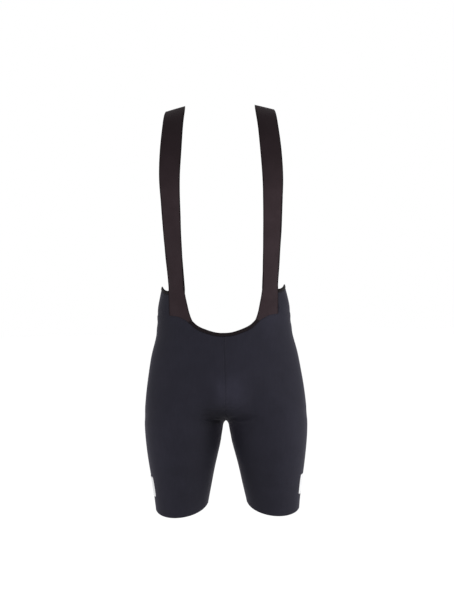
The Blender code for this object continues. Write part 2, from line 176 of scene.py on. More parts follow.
# Leg section by level: outer edge, front and back edge, and squareness.
LEG = Table("z outer front back square", [
    (-0.600, 0.1703, -0.0990, 0.1120, 2.40),
    (-0.650, 0.1768, -0.0992, 0.1130, 2.40),
    (-0.690, 0.1789, -0.0976, 0.1096, 2.36),
    (-0.725, 0.1773, -0.0945, 0.1030, 2.28),
    (-0.761, 0.1735, -0.0898, 0.0945, 2.20),
    (-0.796, 0.1682, -0.0835, 0.0850, 2.13),
    (-0.831, 0.1628, -0.0757, 0.0760, 2.08),
    (-0.869, 0.1585, -0.0675, 0.0680, 2.05),
    (-0.900, 0.1555, -0.0620, 0.0630, 2.05),
])

# The leg's inner edge by level, from the crotch seam down.
INSEAM = Table("z x", [
    (-0.6855, 0.0000), (-0.6885, 0.0034), (-0.6948, 0.0058), (-0.7080, 0.0085),
    (-0.7256, 0.0114), (-0.7430, 0.0152), (-0.7610, 0.0196), (-0.7960, 0.0280),
    (-0.8310, 0.0353), (-0.8690, 0.0434), (-0.9000, 0.0485),
])

# The free elastic, from the front waist over the shoulder to the back waist: where its middle
# runs, its two edges, and how much it turns away towards the outer edge.
STRAP = Table("step y z inner outer turn", [
    (0, -0.0788, -0.3998, 0.0831, 0.1180, 36.0),
    (1, -0.0802, -0.3790, 0.0843, 0.1186, 36.0),
    (2, -0.0870, -0.3026, 0.0865, 0.1244, 30.0),
    (3, -0.0942, -0.2262, 0.0880, 0.1293, 20.0),
    (4, -0.0985, -0.1623, 0.0877, 0.1323, 9.0),
    (5, -0.0925, -0.0960, 0.0838, 0.1294, 6.0),
    (6, -0.0680, -0.0400, 0.0807, 0.1242, 9.0),
    (7, -0.0370, -0.0115, 0.0785, 0.1210, 12.0),
    (8, 0.0000, 0.0000, 0.0765, 0.1183, 15.0),
    (9, 0.0380, -0.0100, 0.0793, 0.1213, 14.0),
    (10, 0.0700, -0.0370, 0.0847, 0.1275, 12.0),
    (11, 0.0930, -0.0880, 0.0900, 0.1337, 8.0),
    (12, 0.1030, -0.1550, 0.0953, 0.1390, 8.0),
    (13, 0.0965, -0.2262, 0.0953, 0.1367, 18.0),
    (14, 0.0850, -0.3026, 0.0930, 0.1310, 30.0),
    (15, 0.0730, -0.3790, 0.0880, 0.1235, 36.0),
    (16, 0.0703, -0.3998, 0.0873, 0.1226, 36.0),
])
BASE_BLEND = 0.060  # the height over which the elastic leaves the body's own section
RUN_STEP = 0.01  # over which the strap's direction is read

# One end of both straps, -1 in front and 1 behind. sewn is where the panel is sewn to the neck
# binding and the strap, from the centre outwards, and neck is the binding's open edge, both as x
# and z. base gives the edges of the strap's let-in end: the neck side and the outer seam.
End = collections.namedtuple("End", "side sewn neck base")
FRONT = End(
    -1,
    [
        (0.0000, -0.4992), (0.0203, -0.4973), (0.0482, -0.4882), (0.0643, -0.4786),
        (0.0758, -0.4682), (0.0897, -0.4597), (0.1003, -0.4556), (0.1168, -0.4533),
    ],
    [(0.0000, -0.4918), (0.0191, -0.4901), (0.0452, -0.4812), (0.0592, -0.4732), (0.0675, -0.4648)],
    Table("z inner outer", [
        (-0.4648, 0.0675, 0.1168), (-0.4562, 0.0709, 0.1168), (-0.4477, 0.0734, 0.1169),
        (-0.4306, 0.0772, 0.1172), (-0.4134, 0.0808, 0.1176), (-0.3998, 0.0831, 0.1180),
    ]),
)
BACK = End(
    1,
    [
        (0.0000, -0.5067), (0.0216, -0.5046), (0.0513, -0.4948), (0.0685, -0.4843),
        (0.0805, -0.4730), (0.0945, -0.4636), (0.1050, -0.4590), (0.1210, -0.4562),
    ],
    [(0.0000, -0.4992), (0.0204, -0.4972), (0.0482, -0.4876), (0.0633, -0.4786), (0.0722, -0.4693)],
    Table("z inner outer", [
        (-0.4693, 0.0722, 0.1209), (-0.4600, 0.0758, 0.1210), (-0.4500, 0.0787, 0.1211),
        (-0.4311, 0.0828, 0.1214), (-0.4129, 0.0860, 0.1220), (-0.3998, 0.0873, 0.1226),
    ]),
)
JUNCTION = 4  # the row of sewn where the binding ends and the strap begins


def grid_of(x, y, z):
    return np.stack(np.broadcast_arrays(x, y, z), axis=-1)


def body_point(t, z):
    """A point of half the body's section: t is 0 at the centre front and 1 at the centre back."""
    angle = math.pi * (t - 0.5)
    exponent = 2 / BODY("square", z)
    x = BODY("half_width", z) * power(np.cos(angle), exponent)
    reach = np.where(angle < 0, BODY("front", z), BODY("back", z))
    return x, reach * power(np.sin(angle), exponent)


def body_share(x, z, side):
    """The t of the body section's point at half width x: side is -1 in front and 1 behind."""
    ratio = np.clip(x / BODY("half_width", z), 0.0, 1.0)
    angle = np.arccos(ratio ** (BODY("square", z) / 2))
    return 0.5 + side * angle / math.pi


def on_body(x, z, side):
    """Points of the worn surface at half width x and level z."""
    return grid_of(x, body_point(body_share(x, z, side), z)[1], z)


def leg_point(t, z):
    """A point of the leg's section: t is 0 and 1 at the inseam and 0.5 at the outer side."""
    angle = 2 * math.pi * (t - 0.5)
    exponent = 2 / LEG("square", z)
    inner, outer, front, back = INSEAM("x", z), LEG("outer", z), LEG("front", z), LEG("back", z)
    x = (inner + outer) / 2 + (outer - inner) / 2 * power(np.cos(angle), exponent)
    y = (front + back) / 2 + (back - front) / 2 * power(np.sin(angle), exponent)
    return x, y


def along(points, places):
    """Points of a smooth curve through the given ones and their mirror images, level at the centre.

    places count its rows, 0 for the first.
    """
    mirrored = [(-x, z) for x, z in points[:0:-1]]
    read = spline(range(1 - len(points), len(points)), mirrored + points, places)
    return read[..., 0], read[..., 1]


def sewn_line(end):
    """The panel's edge under one neck binding and strap, as x and z for each column."""
    neck = np.linspace(0, JUNCTION, NECK_COLUMNS + 1)
    strap = np.linspace(JUNCTION, len(end.sewn) - 1, STRAP_COLUMNS + 1)
    return along(end.sewn, np.concatenate([neck, strap[1:]]))


def side_edge_z(u):
    """The level of the raised side edge: u runs from the front strap to the back one."""
    return WAIST_VALLEY_Z + SIDE_RISE * np.sin(math.pi * u) ** 2


def side_share(u, z):
    """The body's t at u of the way from the front strap's outer seam to the back one's."""
    front, back = (body_share(end.base("outer", z), z, end.side) for end in (FRONT, BACK))
    return mix(front, back, u)


def waist_row():
    """The row under the neck bindings and straps: t and z for each column."""
    front_x, front_z = sewn_line(FRONT)
    back_x, back_z = sewn_line(BACK)
    u = np.linspace(0, 1, SIDE_COLUMNS + 1)[1:-1]
    side_z = mix(front_z[-1], back_z[-1], smoothstep(u))
    front_t = body_share(front_x, front_z, -1)
    back_t = body_share(back_x, back_z, 1)
    t = np.concatenate([front_t, side_share(u, side_z), back_t[::-1]])
    return t, np.concatenate([front_z, side_z, back_z[::-1]])


def side_grid():
    """The panel between the straps, from the side binding down to the waist row."""
    u = row_shares(SIDE_COLUMNS)
    waist_z = waist_row()[1][None, FRONT_CORNER : BACK_CORNER + 1]
    z = mix(side_edge_z(u) - BINDING_WIDTH, waist_z, column_shares(SIDE_ROWS))
    return grid_of(*body_point(side_share(u, z), z), z)


def from_inseam(t):
    """The share of a row between t and its nearer end."""
    return np.minimum(t, 1 - t)


def inner_thigh(t):
    """1 at the seam and 0 from the front or back of the thigh outwards."""
    return 1 - smoothstep(from_inseam(t) / THIGH_FRONT)


def hip_share(t):
    """The t on the body's section that lies above t on the leg's section."""
    fold = from_inseam(t)
    near = fold * (2 * HIP_GATHER + (2 - 4 * HIP_GATHER) * fold)
    return np.where(t < 0.5, near, 1 - near)


def hip_grid():
    """From the waist row down to the hips."""
    waist_t, waist_z = waist_row()
    share = column_shares(HIP_ROWS)
    z = mix(waist_z[None, :], HIP_Z, share)
    t = mix(waist_t[None, :], hip_share(row_shares(COLUMNS)), smoothstep(share))
    return grid_of(*body_point(t, z), z)


def crotch_ring_z(t):
    """The level of the leg's top row, which drops beside the crotch seam."""
    return CROTCH_Z - CROTCH_ARCH * smoothstep(from_inseam(t) / ARCH_SHARE)


def crotch_grid():
    """From the hips to the leg's top row: the row ends follow the seam under the body."""
    t, share = row_shares(COLUMNS), column_shares(CROTCH_ROWS)
    quarter = share * math.pi / 2
    seam_down = np.sin(quarter) ** (2 / CROTCH_ROUND)
    seam_under = 1 - np.clip(np.cos(quarter), 0, 1) ** (2 / CROTCH_ROUND)
    down = mix(share, seam_down, inner_thigh(t))
    under = mix(smoothstep(share), seam_under, inner_thigh(t))
    z = mix(HIP_Z, crotch_ring_z(t), down)
    body_x, body_y = body_point(hip_share(t), z)
    leg_x, leg_y = leg_point(t, z)
    return grid_of(mix(body_x, leg_x, under), mix(body_y, leg_y, under), z)


def hem_z(t):
    """The hem's level round the leg: lower in front than at the sides."""
    x, _ = leg_point(t, HEM_Z)
    turn = np.sin(2 * math.pi * (t - 0.5))
    middle = (INSEAM("x", HEM_Z) + LEG("outer", HEM_Z)) / 2
    lift = np.where(turn < 0, HEM_FRONT_DROP, HEM_BACK_LIFT) * turn * np.abs(turn) ** HEM_BEND
    return HEM_Z + HEM_OUTWARD_SLOPE * (x - middle) + lift


def leg_grid():
    """The leg tube from the crotch row to the hem, with closer rows beside the crotch."""
    t, share = row_shares(COLUMNS), column_shares(LEG_ROWS)
    z = mix(crotch_ring_z(t), hem_z(t), share ** (1 + INSEAM_CLOSING * inner_thigh(t)))
    return grid_of(*leg_point(t, z), z)


def taut(grid):
    """The panel bent as evenly as taut knit: its edges stay, and it spans freely at the crotch."""
    middle = (CROTCH_TOP_Z + CROTCH_FOOT_Z) / 2
    level = 1 - smoothstep(np.abs(grid[..., 2] - middle) / (CROTCH_TOP_Z - middle))
    free = np.clip(SPAN_SPREAD * inner_thigh(row_shares(COLUMNS)) * level, 0, 1)
    hold = SHAPED_HOLD * (TAUT_HOLD / SHAPED_HOLD) ** free
    hold[[0, -1]] = SEWN_HOLD
    hold[:, [0, -1]] = SEWN_HOLD
    rows, columns = (np.eye(count) for count in hold.shape)
    row_slope, column_slope = (np.diff(even, 1, axis=0) for even in (rows, columns))
    row_bend, column_bend = (np.diff(even, 2, axis=0) for even in (rows, columns))
    stiffness = np.kron(row_bend.T @ row_bend, columns) + np.kron(rows, column_bend.T @ column_bend)
    stiffness += 2 * np.kron(row_slope.T @ row_slope, column_slope.T @ column_slope)
    kept = hold.reshape(-1, 1) * grid.reshape(-1, 3)
    return np.linalg.solve(stiffness + np.diag(hold.ravel()), kept).reshape(grid.shape)


def panel_grid():
    """The knit from the waist row to the hem, as one grid."""
    return taut(np.concatenate([hip_grid()[:-1], crotch_grid()[:-1], leg_grid()]))


def strap_base(end):
    """The let-in end of a strap: rows from its bottom seam up to the side edge's valley."""
    sewn_x, sewn_z = sewn_line(end)
    neck_x, neck_z = end.neck[-1]
    bottom_x = np.concatenate([[neck_x], sewn_x[NECK_COLUMNS:]])
    bottom_z = np.concatenate([[neck_z], sewn_z[NECK_COLUMNS:]]) + SEAM
    bottom_x[-1] -= SEAM
    across = np.linspace(0, 1, STRAP_COLUMNS + 2)
    beside_panel = np.linspace(sewn_z[-1] + SEAM, WAIST_VALLEY_Z - BINDING_WIDTH, SIDE_ROWS + 1)
    outer_levels = np.append(beside_panel, WAIST_VALLEY_Z)
    inner_levels = np.linspace(bottom_z[0], WAIST_VALLEY_Z, BASE_ROWS + 1)
    sag_x = bottom_x - mix(bottom_x[0], bottom_x[-1], across)
    sag_z = bottom_z - mix(bottom_z[0], bottom_z[-1], across)
    rows = []
    for row, (inner_z, outer_z) in enumerate(zip(inner_levels, outer_levels)):
        fade = (1 - row / BASE_ROWS) ** 2
        inner_x, outer_x = end.base("inner", inner_z), end.base("outer", outer_z) - SEAM
        x = mix(inner_x, outer_x, across) + fade * sag_x
        z = mix(inner_z, outer_z, across) + fade * sag_z
        rows.append(on_body(x, z, end.side))
    return np.array(rows)


def strap_free():
    """The elastic from one waist base over the shoulder to the other, without its end rows."""
    step = np.linspace(0, STRAP.at[-1], STRAP_ROWS + 1)[1:-1, None]
    across = row_shares(STRAP_COLUMNS + 1)
    run_y, run_z = (STRAP(name, step + RUN_STEP) - STRAP(name, step - RUN_STEP) for name in "yz")
    run = np.hypot(run_y, run_z)
    out_y, out_z = -run_z / run, run_y / run
    width = STRAP("outer", step) - STRAP("inner", step)
    x = STRAP("inner", step) + width * across
    fall = np.tan(np.radians(STRAP("turn", step))) * width * (across - 0.5)
    stand = STRAP_CROWN * np.abs(out_y) * (1 - (2 * across - 1) ** 2) - fall
    y = STRAP("y", step) + out_y * stand
    z = STRAP("z", step) + out_z * stand
    side = np.where(step < STRAP.at[-1] / 2, -1.0, 1.0)
    leaving = smoothstep((STRAP("z", step) - WAIST_VALLEY_Z) / BASE_BLEND)
    body = on_body(x, np.minimum(z, WAIST_VALLEY_Z + BASE_BLEND), side)
    free = grid_of(x, y, z)
    body[..., 2] = free[..., 2]
    return mix(body, free, leaving[..., None])


# ---- Finer grids, distances over the cloth, and its relief ----

PANEL_ROW_SPLITS = 5
PANEL_COLUMN_SPLITS = 4
PULLED_SPLITS = 9  # about the crotch, where the creases are fine
PULLED_ROWS = range(11, 20)
PULLED_COLUMNS = (*range(0, 6), *range(26, 32))
CORNER_COLUMNS = 1.5  # from the seams, over which the crotch's corner turns into a bend
SIDE_ROW_SPLITS = 5
STRAP_SPLITS = 4
RELIEF_LIMIT = 0.0055
EDGE_PLACES = (0.05, 0.1, 0.16, 0.23, 0.32, 0.43, 0.56, 0.72)  # extra places beside a sewn edge

SEAM_DIP = 0.00045
SEAM_BEAD = 0.00022
SEAM_WIDTH = 0.0034  # of the turned allowance that shows as a low bead
SUNK_SHARE = 0.45  # of a seam's width, over which the cloth is drawn in
BEAD_RISE = 0.7  # the same, over which the allowance comes up
BEAD_FALL = 0.8  # the same, over which it goes down again past the width
CREASE_FADE = 0.8  # below 1, a crease keeps its height nearer to its ends
CREASE_HOLLOW = 0.6  # how hollow the cloth lies on both sides of a crease
WAVES = 6  # of the cloth's slow unevenness
WAVE_LENGTHS = (0.6, 1.6)  # the shortest and the longest, against the length asked for


def places(count, splits, pulled=(), dense_end=True):
    """Places along a grid's direction, closer together beside sewn edges and where it is pulled."""
    split = [PULLED_SPLITS if i in pulled else splits for i in range(count)]
    even = [np.linspace(i, i + 1, split[i], False) for i in range(count)]
    even = np.append(np.concatenate(even), count)
    plain = (even >= 1) & (even <= count - dense_end)
    extra = [*EDGE_PLACES] + [count - place for place in EDGE_PLACES if dense_end]
    return np.array(sorted({0.0, float(count), *even[plain], *extra}))


def finer_across(grid, columns):
    """The grid's rows read at these fractional columns."""
    return turned(spline(range(grid.shape[1]), turned(grid), columns))


def finer(grid, rows, columns):
    """The grid's surface read at these fractional rows and columns."""
    return finer_across(spline(range(len(grid)), grid, rows), columns)


def finer_by_run(grid, rows, columns):
    """The same for a grid of uneven rows, each column read by the distance run along it."""
    lines = []
    for line in turned(grid):
        run = run_along(line)
        lines.append(spline(run, line, np.interp(rows, range(len(run)), run)))
    return finer_across(np.stack(lines, axis=1), columns)


def finer_panel(grid, rows, columns):
    """The knit more finely: its seams turn a corner at the crotch, and the cloth beside bends."""
    crotch = HIP_ROWS + CROTCH_ROWS
    above = finer(grid[: crotch + 1], rows[rows <= crotch], columns)
    below = finer(grid[crotch:], rows[rows > crotch] - crotch, columns)
    from_seam = np.minimum(columns, COLUMNS - columns)[None, :, None]
    cornered = np.concatenate([above, below])
    return mix(cornered, finer(grid, rows, columns), smoothstep(from_seam / CORNER_COLUMNS))


def unit(vectors):
    return vectors / np.maximum(np.linalg.norm(vectors, axis=-1, keepdims=True), 1e-12)


def outward(grid):
    """Unit normals of a grid whose columns run outwards from the centre and rows run down."""
    return unit(np.cross(np.gradient(grid, axis=0), np.gradient(grid, axis=1)))


def run_along(lines):
    """The distance run along each line of points from its first point."""
    steps = np.linalg.norm(np.diff(lines, axis=-2), axis=-1)
    start = np.zeros(steps.shape[:-1] + (1,))
    return np.concatenate([start, np.cumsum(steps, axis=-1)], axis=-1)


def run_down(grid):
    return turned(run_along(turned(grid)))


def cloth_uv(grid, middle=0):
    """Metres across the cloth from its middle column, and metres down it, for each point."""
    across = run_along(grid)
    across -= across[:, middle : middle + 1]
    return np.stack([across, run_down(grid)], axis=-1)


def near_path(points, path):
    """Each point's distance from a path, and how far along the path its nearest spot is."""
    flat = points.reshape(-1, 3)
    nearest = np.full(len(flat), np.inf)
    share = np.zeros(len(flat))
    for i, (start, end) in enumerate(zip(path[:-1], path[1:])):
        leg = end - start
        on = np.clip((flat - start) @ leg / max(leg @ leg, 1e-18), 0, 1)
        away = np.linalg.norm(flat - start - on[:, None] * leg, axis=1)
        closer = away < nearest
        nearest[closer] = away[closer]
        share[closer] = (i + on[closer]) / (len(path) - 1)
    return nearest.reshape(points.shape[:-1]), share.reshape(points.shape[:-1])


class Relief:
    """The relief of one side's cloth: seams, creases and a slow unevenness."""

    def __init__(self, points):
        self.points = points
        self.height = np.zeros(points.shape[:-1])

    def seam(self, path, dip, bead=0.0, width=SEAM_WIDTH):
        """A seam draws the cloth in: down at the seam, and up over its turned allowance."""
        distance = near_path(self.points, path)[0]
        sunk = -dip * np.exp(-((distance / (SUNK_SHARE * width)) ** 2))
        foot = 1 - smoothstep((distance - width) / (BEAD_FALL * width))
        self.height += sunk + bead * smoothstep(distance / (BEAD_RISE * width)) * foot

    def crease(self, path, width, height):
        """A soft ridge, or a trough for a negative height, that fades at both ends of its path."""
        distance, share = near_path(self.points, path)
        across = distance / width
        fade = np.sin(math.pi * np.clip(share, 0, 1)) ** CREASE_FADE
        self.height += height * fade * (1 - CREASE_HOLLOW * across**2) * np.exp(-(across**2))

    def uneven(self, seed, height, length, share=1.0):
        """Slow waves in several directions, never more than height in all, times share."""
        random = np.random.default_rng(seed)
        for _ in range(WAVES):
            direction = random.normal(size=3)
            direction /= np.linalg.norm(direction) * length * random.uniform(*WAVE_LENGTHS)
            phase = random.uniform(0, 2 * math.pi)
            wave = np.sin(2 * math.pi * self.points @ direction + phase)
            self.height += height / WAVES * wave * share

    def raised(self):
        """The points moved out by the relief, eased off towards its limit."""
        height = RELIEF_LIMIT * np.tanh(self.height / RELIEF_LIMIT)
        return self.points + outward(self.points) * height[..., None]


# ---- Creases, and painted light and shade of the knit ----

# By the side of the garment and the view they are placed in: where each starts and ends, across
# and z, how far its middle bows, its width and its height. "across" runs over the centre, from
# the wearer's right to their left: the low crown over the pad's front end, and the turn under it.
CREASES = {
    ("across", "front"): [
        (-0.046, -0.638, 0.060, -0.630, 0.006, 0.020, 0.0034),
        (-0.056, -0.670, 0.056, -0.672, 0.010, 0.011, -0.0042),
    ],
    ("across", "back"): [(-0.030, -0.660, 0.030, -0.660, -0.004, 0.012, -0.0008)],
    ("both", "front"): [
        (0.034, -0.650, 0.094, -0.622, 0.004, 0.013, -0.0010),
        (0.066, -0.480, 0.030, -0.524, -0.003, 0.008, 0.0008),
        (0.108, -0.463, 0.078, -0.500, -0.002, 0.0075, 0.0006),
    ],
    ("both", "back"): [
        (0.014, -0.668, 0.082, -0.664, -0.008, 0.007, -0.0014),
        (0.020, -0.684, 0.095, -0.678, -0.009, 0.008, 0.0010),
        (0.026, -0.697, 0.078, -0.694, -0.006, 0.006, -0.0009),
        (0.010, -0.640, 0.052, -0.612, 0.004, 0.009, -0.0007),
    ],
    ("both", "side"): [
        (-0.050, -0.462, 0.040, -0.470, -0.003, 0.009, -0.0007),
        (-0.030, -0.486, 0.060, -0.480, 0.003, 0.010, 0.0006),
        (-0.070, -0.656, 0.015, -0.676, -0.004, 0.014, -0.0009),
    ],
    ("left", "front"): [
        (0.008, -0.676, 0.068, -0.668, -0.0024, 0.0054, -0.0032),
        (0.016, -0.682, 0.060, -0.679, -0.0020, 0.0040, 0.0012),
        (0.012, -0.669, 0.054, -0.659, -0.0015, 0.0046, 0.0011),
        (0.012, -0.663, 0.047, -0.646, 0.0018, 0.0052, -0.0011),
        (0.022, -0.690, 0.066, -0.688, -0.0026, 0.0060, -0.0010),
        (0.026, -0.702, 0.060, -0.706, -0.0020, 0.0070, -0.0006),
    ],
    ("left", "back"): [
        (0.004, -0.505, 0.058, -0.512, 0.003, 0.008, -0.0007),
        (0.010, -0.523, 0.072, -0.527, 0.004, 0.009, 0.0006),
        (0.062, -0.842, 0.124, -0.834, -0.003, 0.007, -0.0006),
    ],
    ("right", "front"): [
        (0.056, -0.6750, 0.030, -0.6835, -0.0006, 0.0026, 0.0026),
        (0.044, -0.6740, 0.012, -0.6830, -0.0008, 0.0038, -0.0034),
        (0.052, -0.6680, 0.012, -0.6740, -0.0010, 0.0036, -0.0020),
        (0.054, -0.6635, 0.013, -0.6675, 0.0012, 0.0034, 0.0010),
        (0.050, -0.6560, 0.013, -0.6600, 0.0016, 0.0044, -0.0012),
        (0.060, -0.6960, 0.024, -0.6950, -0.0024, 0.0060, 0.0008),
    ],
    ("right", "back"): [
        (0.006, -0.510, 0.064, -0.506, 0.003, 0.008, -0.0007),
        (0.016, -0.531, 0.068, -0.522, 0.003, 0.010, 0.0006),
        (0.070, -0.830, 0.130, -0.838, 0.003, 0.008, -0.0006),
    ],
}
CREASE_STEPS = 14

# Painted light and shade of the knit, by view and in the wearer's own left and right: painted
# highlights over the crown, under a strap's seam and on the outer thighs, and painted shade about
# the crotch, the inner thighs and the upper sides. Each gives across, z, the radii across and
# down, and how much.
PAINTED_LIGHT_AND_SHADE = {
    "front": [
        (0.018, -0.616, 0.024, 0.034, 0.49),
        (-0.009, -0.610, 0.011, 0.034, 0.28),
        (-0.028, -0.670, 0.034, 0.024, -0.36),
        (0.000, -0.674, 0.016, 0.014, -0.24),
        (-0.004, -0.685, 0.022, 0.0065, -0.45),
        (-0.008, -0.655, 0.010, 0.012, -0.14),
        (0.034, -0.674, 0.034, 0.014, -0.18),
        (-0.026, -0.715, 0.022, 0.050, -0.36),
        (0.030, -0.705, 0.030, 0.045, -0.10),
        (-0.055, -0.810, 0.050, 0.110, -0.25),
        (0.060, -0.810, 0.050, 0.110, -0.22),
        (-0.148, -0.750, 0.025, 0.080, 0.16),
        (0.150, -0.700, 0.020, 0.060, 0.10),
        (0.104, -0.458, 0.028, 0.014, 0.26),
        (0.092, -0.482, 0.030, 0.016, 0.10),
        (0.134, -0.412, 0.016, 0.030, -0.18),
        (-0.138, -0.440, 0.020, 0.060, -0.26),
    ],
    "back": [
        (0.0, -0.680, 0.060, 0.020, -0.14),
        (0.085, -0.600, 0.050, 0.050, 0.08),
        (-0.085, -0.600, 0.050, 0.050, 0.08),
    ],
}


def nearest(grid, view, across, z):
    """The cloth's point at this place in a view: across is x, or y in the side view."""
    seen = grid.reshape(-1, 3)
    if view == "side":
        seen = seen[seen[:, 0] > np.median(seen[:, 0])]
        offset = np.hypot(seen[:, 1] - across, seen[:, 2] - z)
    else:
        seen = seen[seen[:, 1] * (1 if view == "back" else -1) > 0]
        offset = np.hypot(seen[:, 0] - abs(across), seen[:, 2] - z)
    found = seen[offset.argmin()].copy()
    if view != "side" and across < 0:
        found[0] *= -1
    return found


def lay_creases(relief, name):
    """The creases of one half, whose points all have x above 0."""
    share = np.linspace(0, 1, CREASE_STEPS + 1)
    for (side, view), rows in CREASES.items():
        if side not in (name, "both", "across"):
            continue
        turn = -1 if (side, name) == ("across", "right") else 1
        for start_across, start_z, end_across, end_z, bow, width, height in rows:
            across = mix(turn * start_across, turn * end_across, share)
            level = mix(start_z, end_z, share) + bow * np.sin(math.pi * share)
            path = [nearest(relief.points, view, a, z) for a, z in zip(across, level)]
            relief.crease(np.array(path), width, height)


def tone(grid, name):
    """How much lighter or darker the knit is painted at each point of one half: painted light and
    shade.
    """
    turn = -1 if name == "right" else 1
    shade = np.zeros(grid.shape[:2])
    for view, rows in PAINTED_LIGHT_AND_SHADE.items():
        facing = np.where(grid[..., 1] < 0, "front", "back") == view
        for across, z, across_radius, z_radius, amount in rows:
            away = ((grid[..., 0] * turn - across) / across_radius) ** 2
            away = away + ((grid[..., 2] - z) / z_radius) ** 2
            shade += amount * np.exp(-away) * facing
    return shade


# ---- Materials ----


class Value:
    """A socket in a node tree; arithmetic on it adds Math nodes."""

    def __init__(self, tree, socket):
        self.tree = tree
        self.socket = socket

    def math(self, operation, *values):
        return self.tree.node("ShaderNodeMath", {"operation": operation}, dict(enumerate(values)))

    def __add__(self, other):
        return self.math("ADD", self, other)

    def __sub__(self, other):
        return self.math("SUBTRACT", self, other)

    def __rsub__(self, other):
        return self.math("SUBTRACT", other, self)

    def __mul__(self, other):
        return self.math("MULTIPLY", self, other)

    def __truediv__(self, other):
        return self.math("DIVIDE", self, other)

    def __mod__(self, other):
        return self.math("MODULO", self, other)

    def __pow__(self, other):
        return self.math("POWER", self, other)

    def __abs__(self):
        return self.math("ABSOLUTE", self)

    __radd__ = __add__
    __rmul__ = __mul__

    def part(self):
        return self.math("FRACT", self)

    def wave(self):
        """A sine of the value, from 0 to 1, with one wave for each whole step."""
        return self.math("SINE", self * (2 * math.pi)) * 0.5 + 0.5

    def between(self, low, high):
        """0 below low and 1 above high, and smooth from one to the other."""
        values = {"Value": self, "From Min": low, "From Max": high}
        return self.tree.node("ShaderNodeMapRange", {"interpolation_type": "SMOOTHSTEP"}, values)

    def beside(self, name):
        """Another output of the same node."""
        return Value(self.tree, self.socket.node.outputs[name])


class Tree:
    """A node tree that is built up node by node."""

    def __init__(self, tree):
        self.tree = tree

    def connect(self, socket, value):
        if isinstance(value, Value):
            self.tree.links.new(value.socket, socket)
        else:
            socket.default_value = value

    def node(self, kind, settings=None, values=None, output=0):
        """One node: its settings, the values or links of its sockets, and the output wanted."""
        made = self.tree.nodes.new(kind)
        for name, setting in (settings or {}).items():
            setattr(made, name, setting)
        for name, value in (values or {}).items():
            self.connect(made.inputs[name], value)
        return Value(self, made.outputs[output])


class Shader(Tree):
    """A material's nodes, round its Principled BSDF."""

    def __init__(self, name, **fixed):
        self.material = bpy.data.materials.new(name)
        self.material.use_nodes = True
        super().__init__(self.material.node_tree)
        self.surface = self.tree.nodes["Principled BSDF"]
        for socket, value in fixed.items():
            self.drive(socket.replace("_", " ").title().replace("Ior", "IOR"), value)

    def drive(self, socket, value):
        self.connect(self.surface.inputs[socket], value)

    def place(self):
        return self.node("ShaderNodeTexCoord", output="Object")

    def cloth_place(self):
        """Millimetres across the cloth and down it."""
        metres = {"Vector": self.node("ShaderNodeTexCoord", output="UV")}
        across = self.node("ShaderNodeSeparateXYZ", {}, metres)
        return across * 1000.0, across.beside("Y") * 1000.0

    def noise(self, scale, detail, roughness=0.5, place=None):
        values = {"Vector": place or self.place()}
        values |= {"Scale": scale, "Detail": detail, "Roughness": roughness}
        return self.node("ShaderNodeTexNoise", {}, values)

    def blend(self, share, first, second):
        """A colour mixed from two by share."""
        values = {0: share, 6: first, 7: second}
        return self.node("ShaderNodeMix", {"data_type": "RGBA"}, values, output=2)

    def vector(self, operation, values):
        return self.node("ShaderNodeVectorMath", {"operation": operation}, values)

    def shade(self):
        return self.node("ShaderNodeAttribute", {"attribute_name": "shade"}, output="Fac")

    def shaded(self, colour):
        """The colour, lighter or darker by the shade stored at each place: painted light and shade
        on the knit, and painted shade on the waist bindings.
        """
        return self.vector("SCALE", {"Vector": colour, "Scale": self.shade() + 1.0})

    def finish(self, colour, roughness, height, distance, strength):
        """The material, with what varies over its surface; distance is the height's, in metres."""
        bump = {"Height": height, "Distance": distance, "Strength": strength}
        self.drive("Base Color", colour)
        self.drive("Roughness", roughness)
        self.drive("Normal", self.node("ShaderNodeBump", {}, bump))
        return self.material


def rgb(red, green, blue):
    return (red, green, blue, 1.0)


NAVY = rgb(0.0109, 0.0104, 0.0169)
NAVY_WORN = rgb(0.0150, 0.0144, 0.0224)
NAVY_DEEP = rgb(0.0070, 0.0067, 0.0111)
NAVY_SHEEN = rgb(0.78, 0.70, 1.0)
BROWN = rgb(0.0183, 0.0112, 0.0133)
BROWN_LIGHT = rgb(0.0274, 0.0181, 0.0212)
# the colour of the dark woven edge, and of the painted shade over the shoulder
BROWN_EDGE_AND_SHADE = rgb(0.0030, 0.0010, 0.0016)
BROWN_SHEEN = rgb(0.90, 0.74, 0.80)
BINDING_DARK = rgb(0.0056, 0.0034, 0.0044)
BINDING_LIGHT = rgb(0.0100, 0.0066, 0.0082)
BINDING_SHEEN = rgb(0.85, 0.76, 0.84)
THREAD_DARK = rgb(0.0120, 0.0112, 0.0170)
PLY_LIGHT = 1.7  # how much lighter the thread is where its plies stand out
TAB_WHITE = rgb(0.66, 0.66, 0.67)
TAB_GREY = rgb(0.42, 0.42, 0.44)
PALE = rgb(0.88, 0.88, 0.88)
WHITE = rgb(1.0, 1.0, 1.0)

WALE_MM = 0.62  # one column of knit loops
COURSE_MM = 0.50  # one row of knit loops
STREAKS = (240.0, 240.0, 34.0)  # how close the knit's streaks of tone are, each way
ELASTIC_RIB_MM = 1.15
ELASTIC_PICK_MM = 0.80
TAPE_RIB_MM = 0.85
TAPE_PICK_MM = 0.60


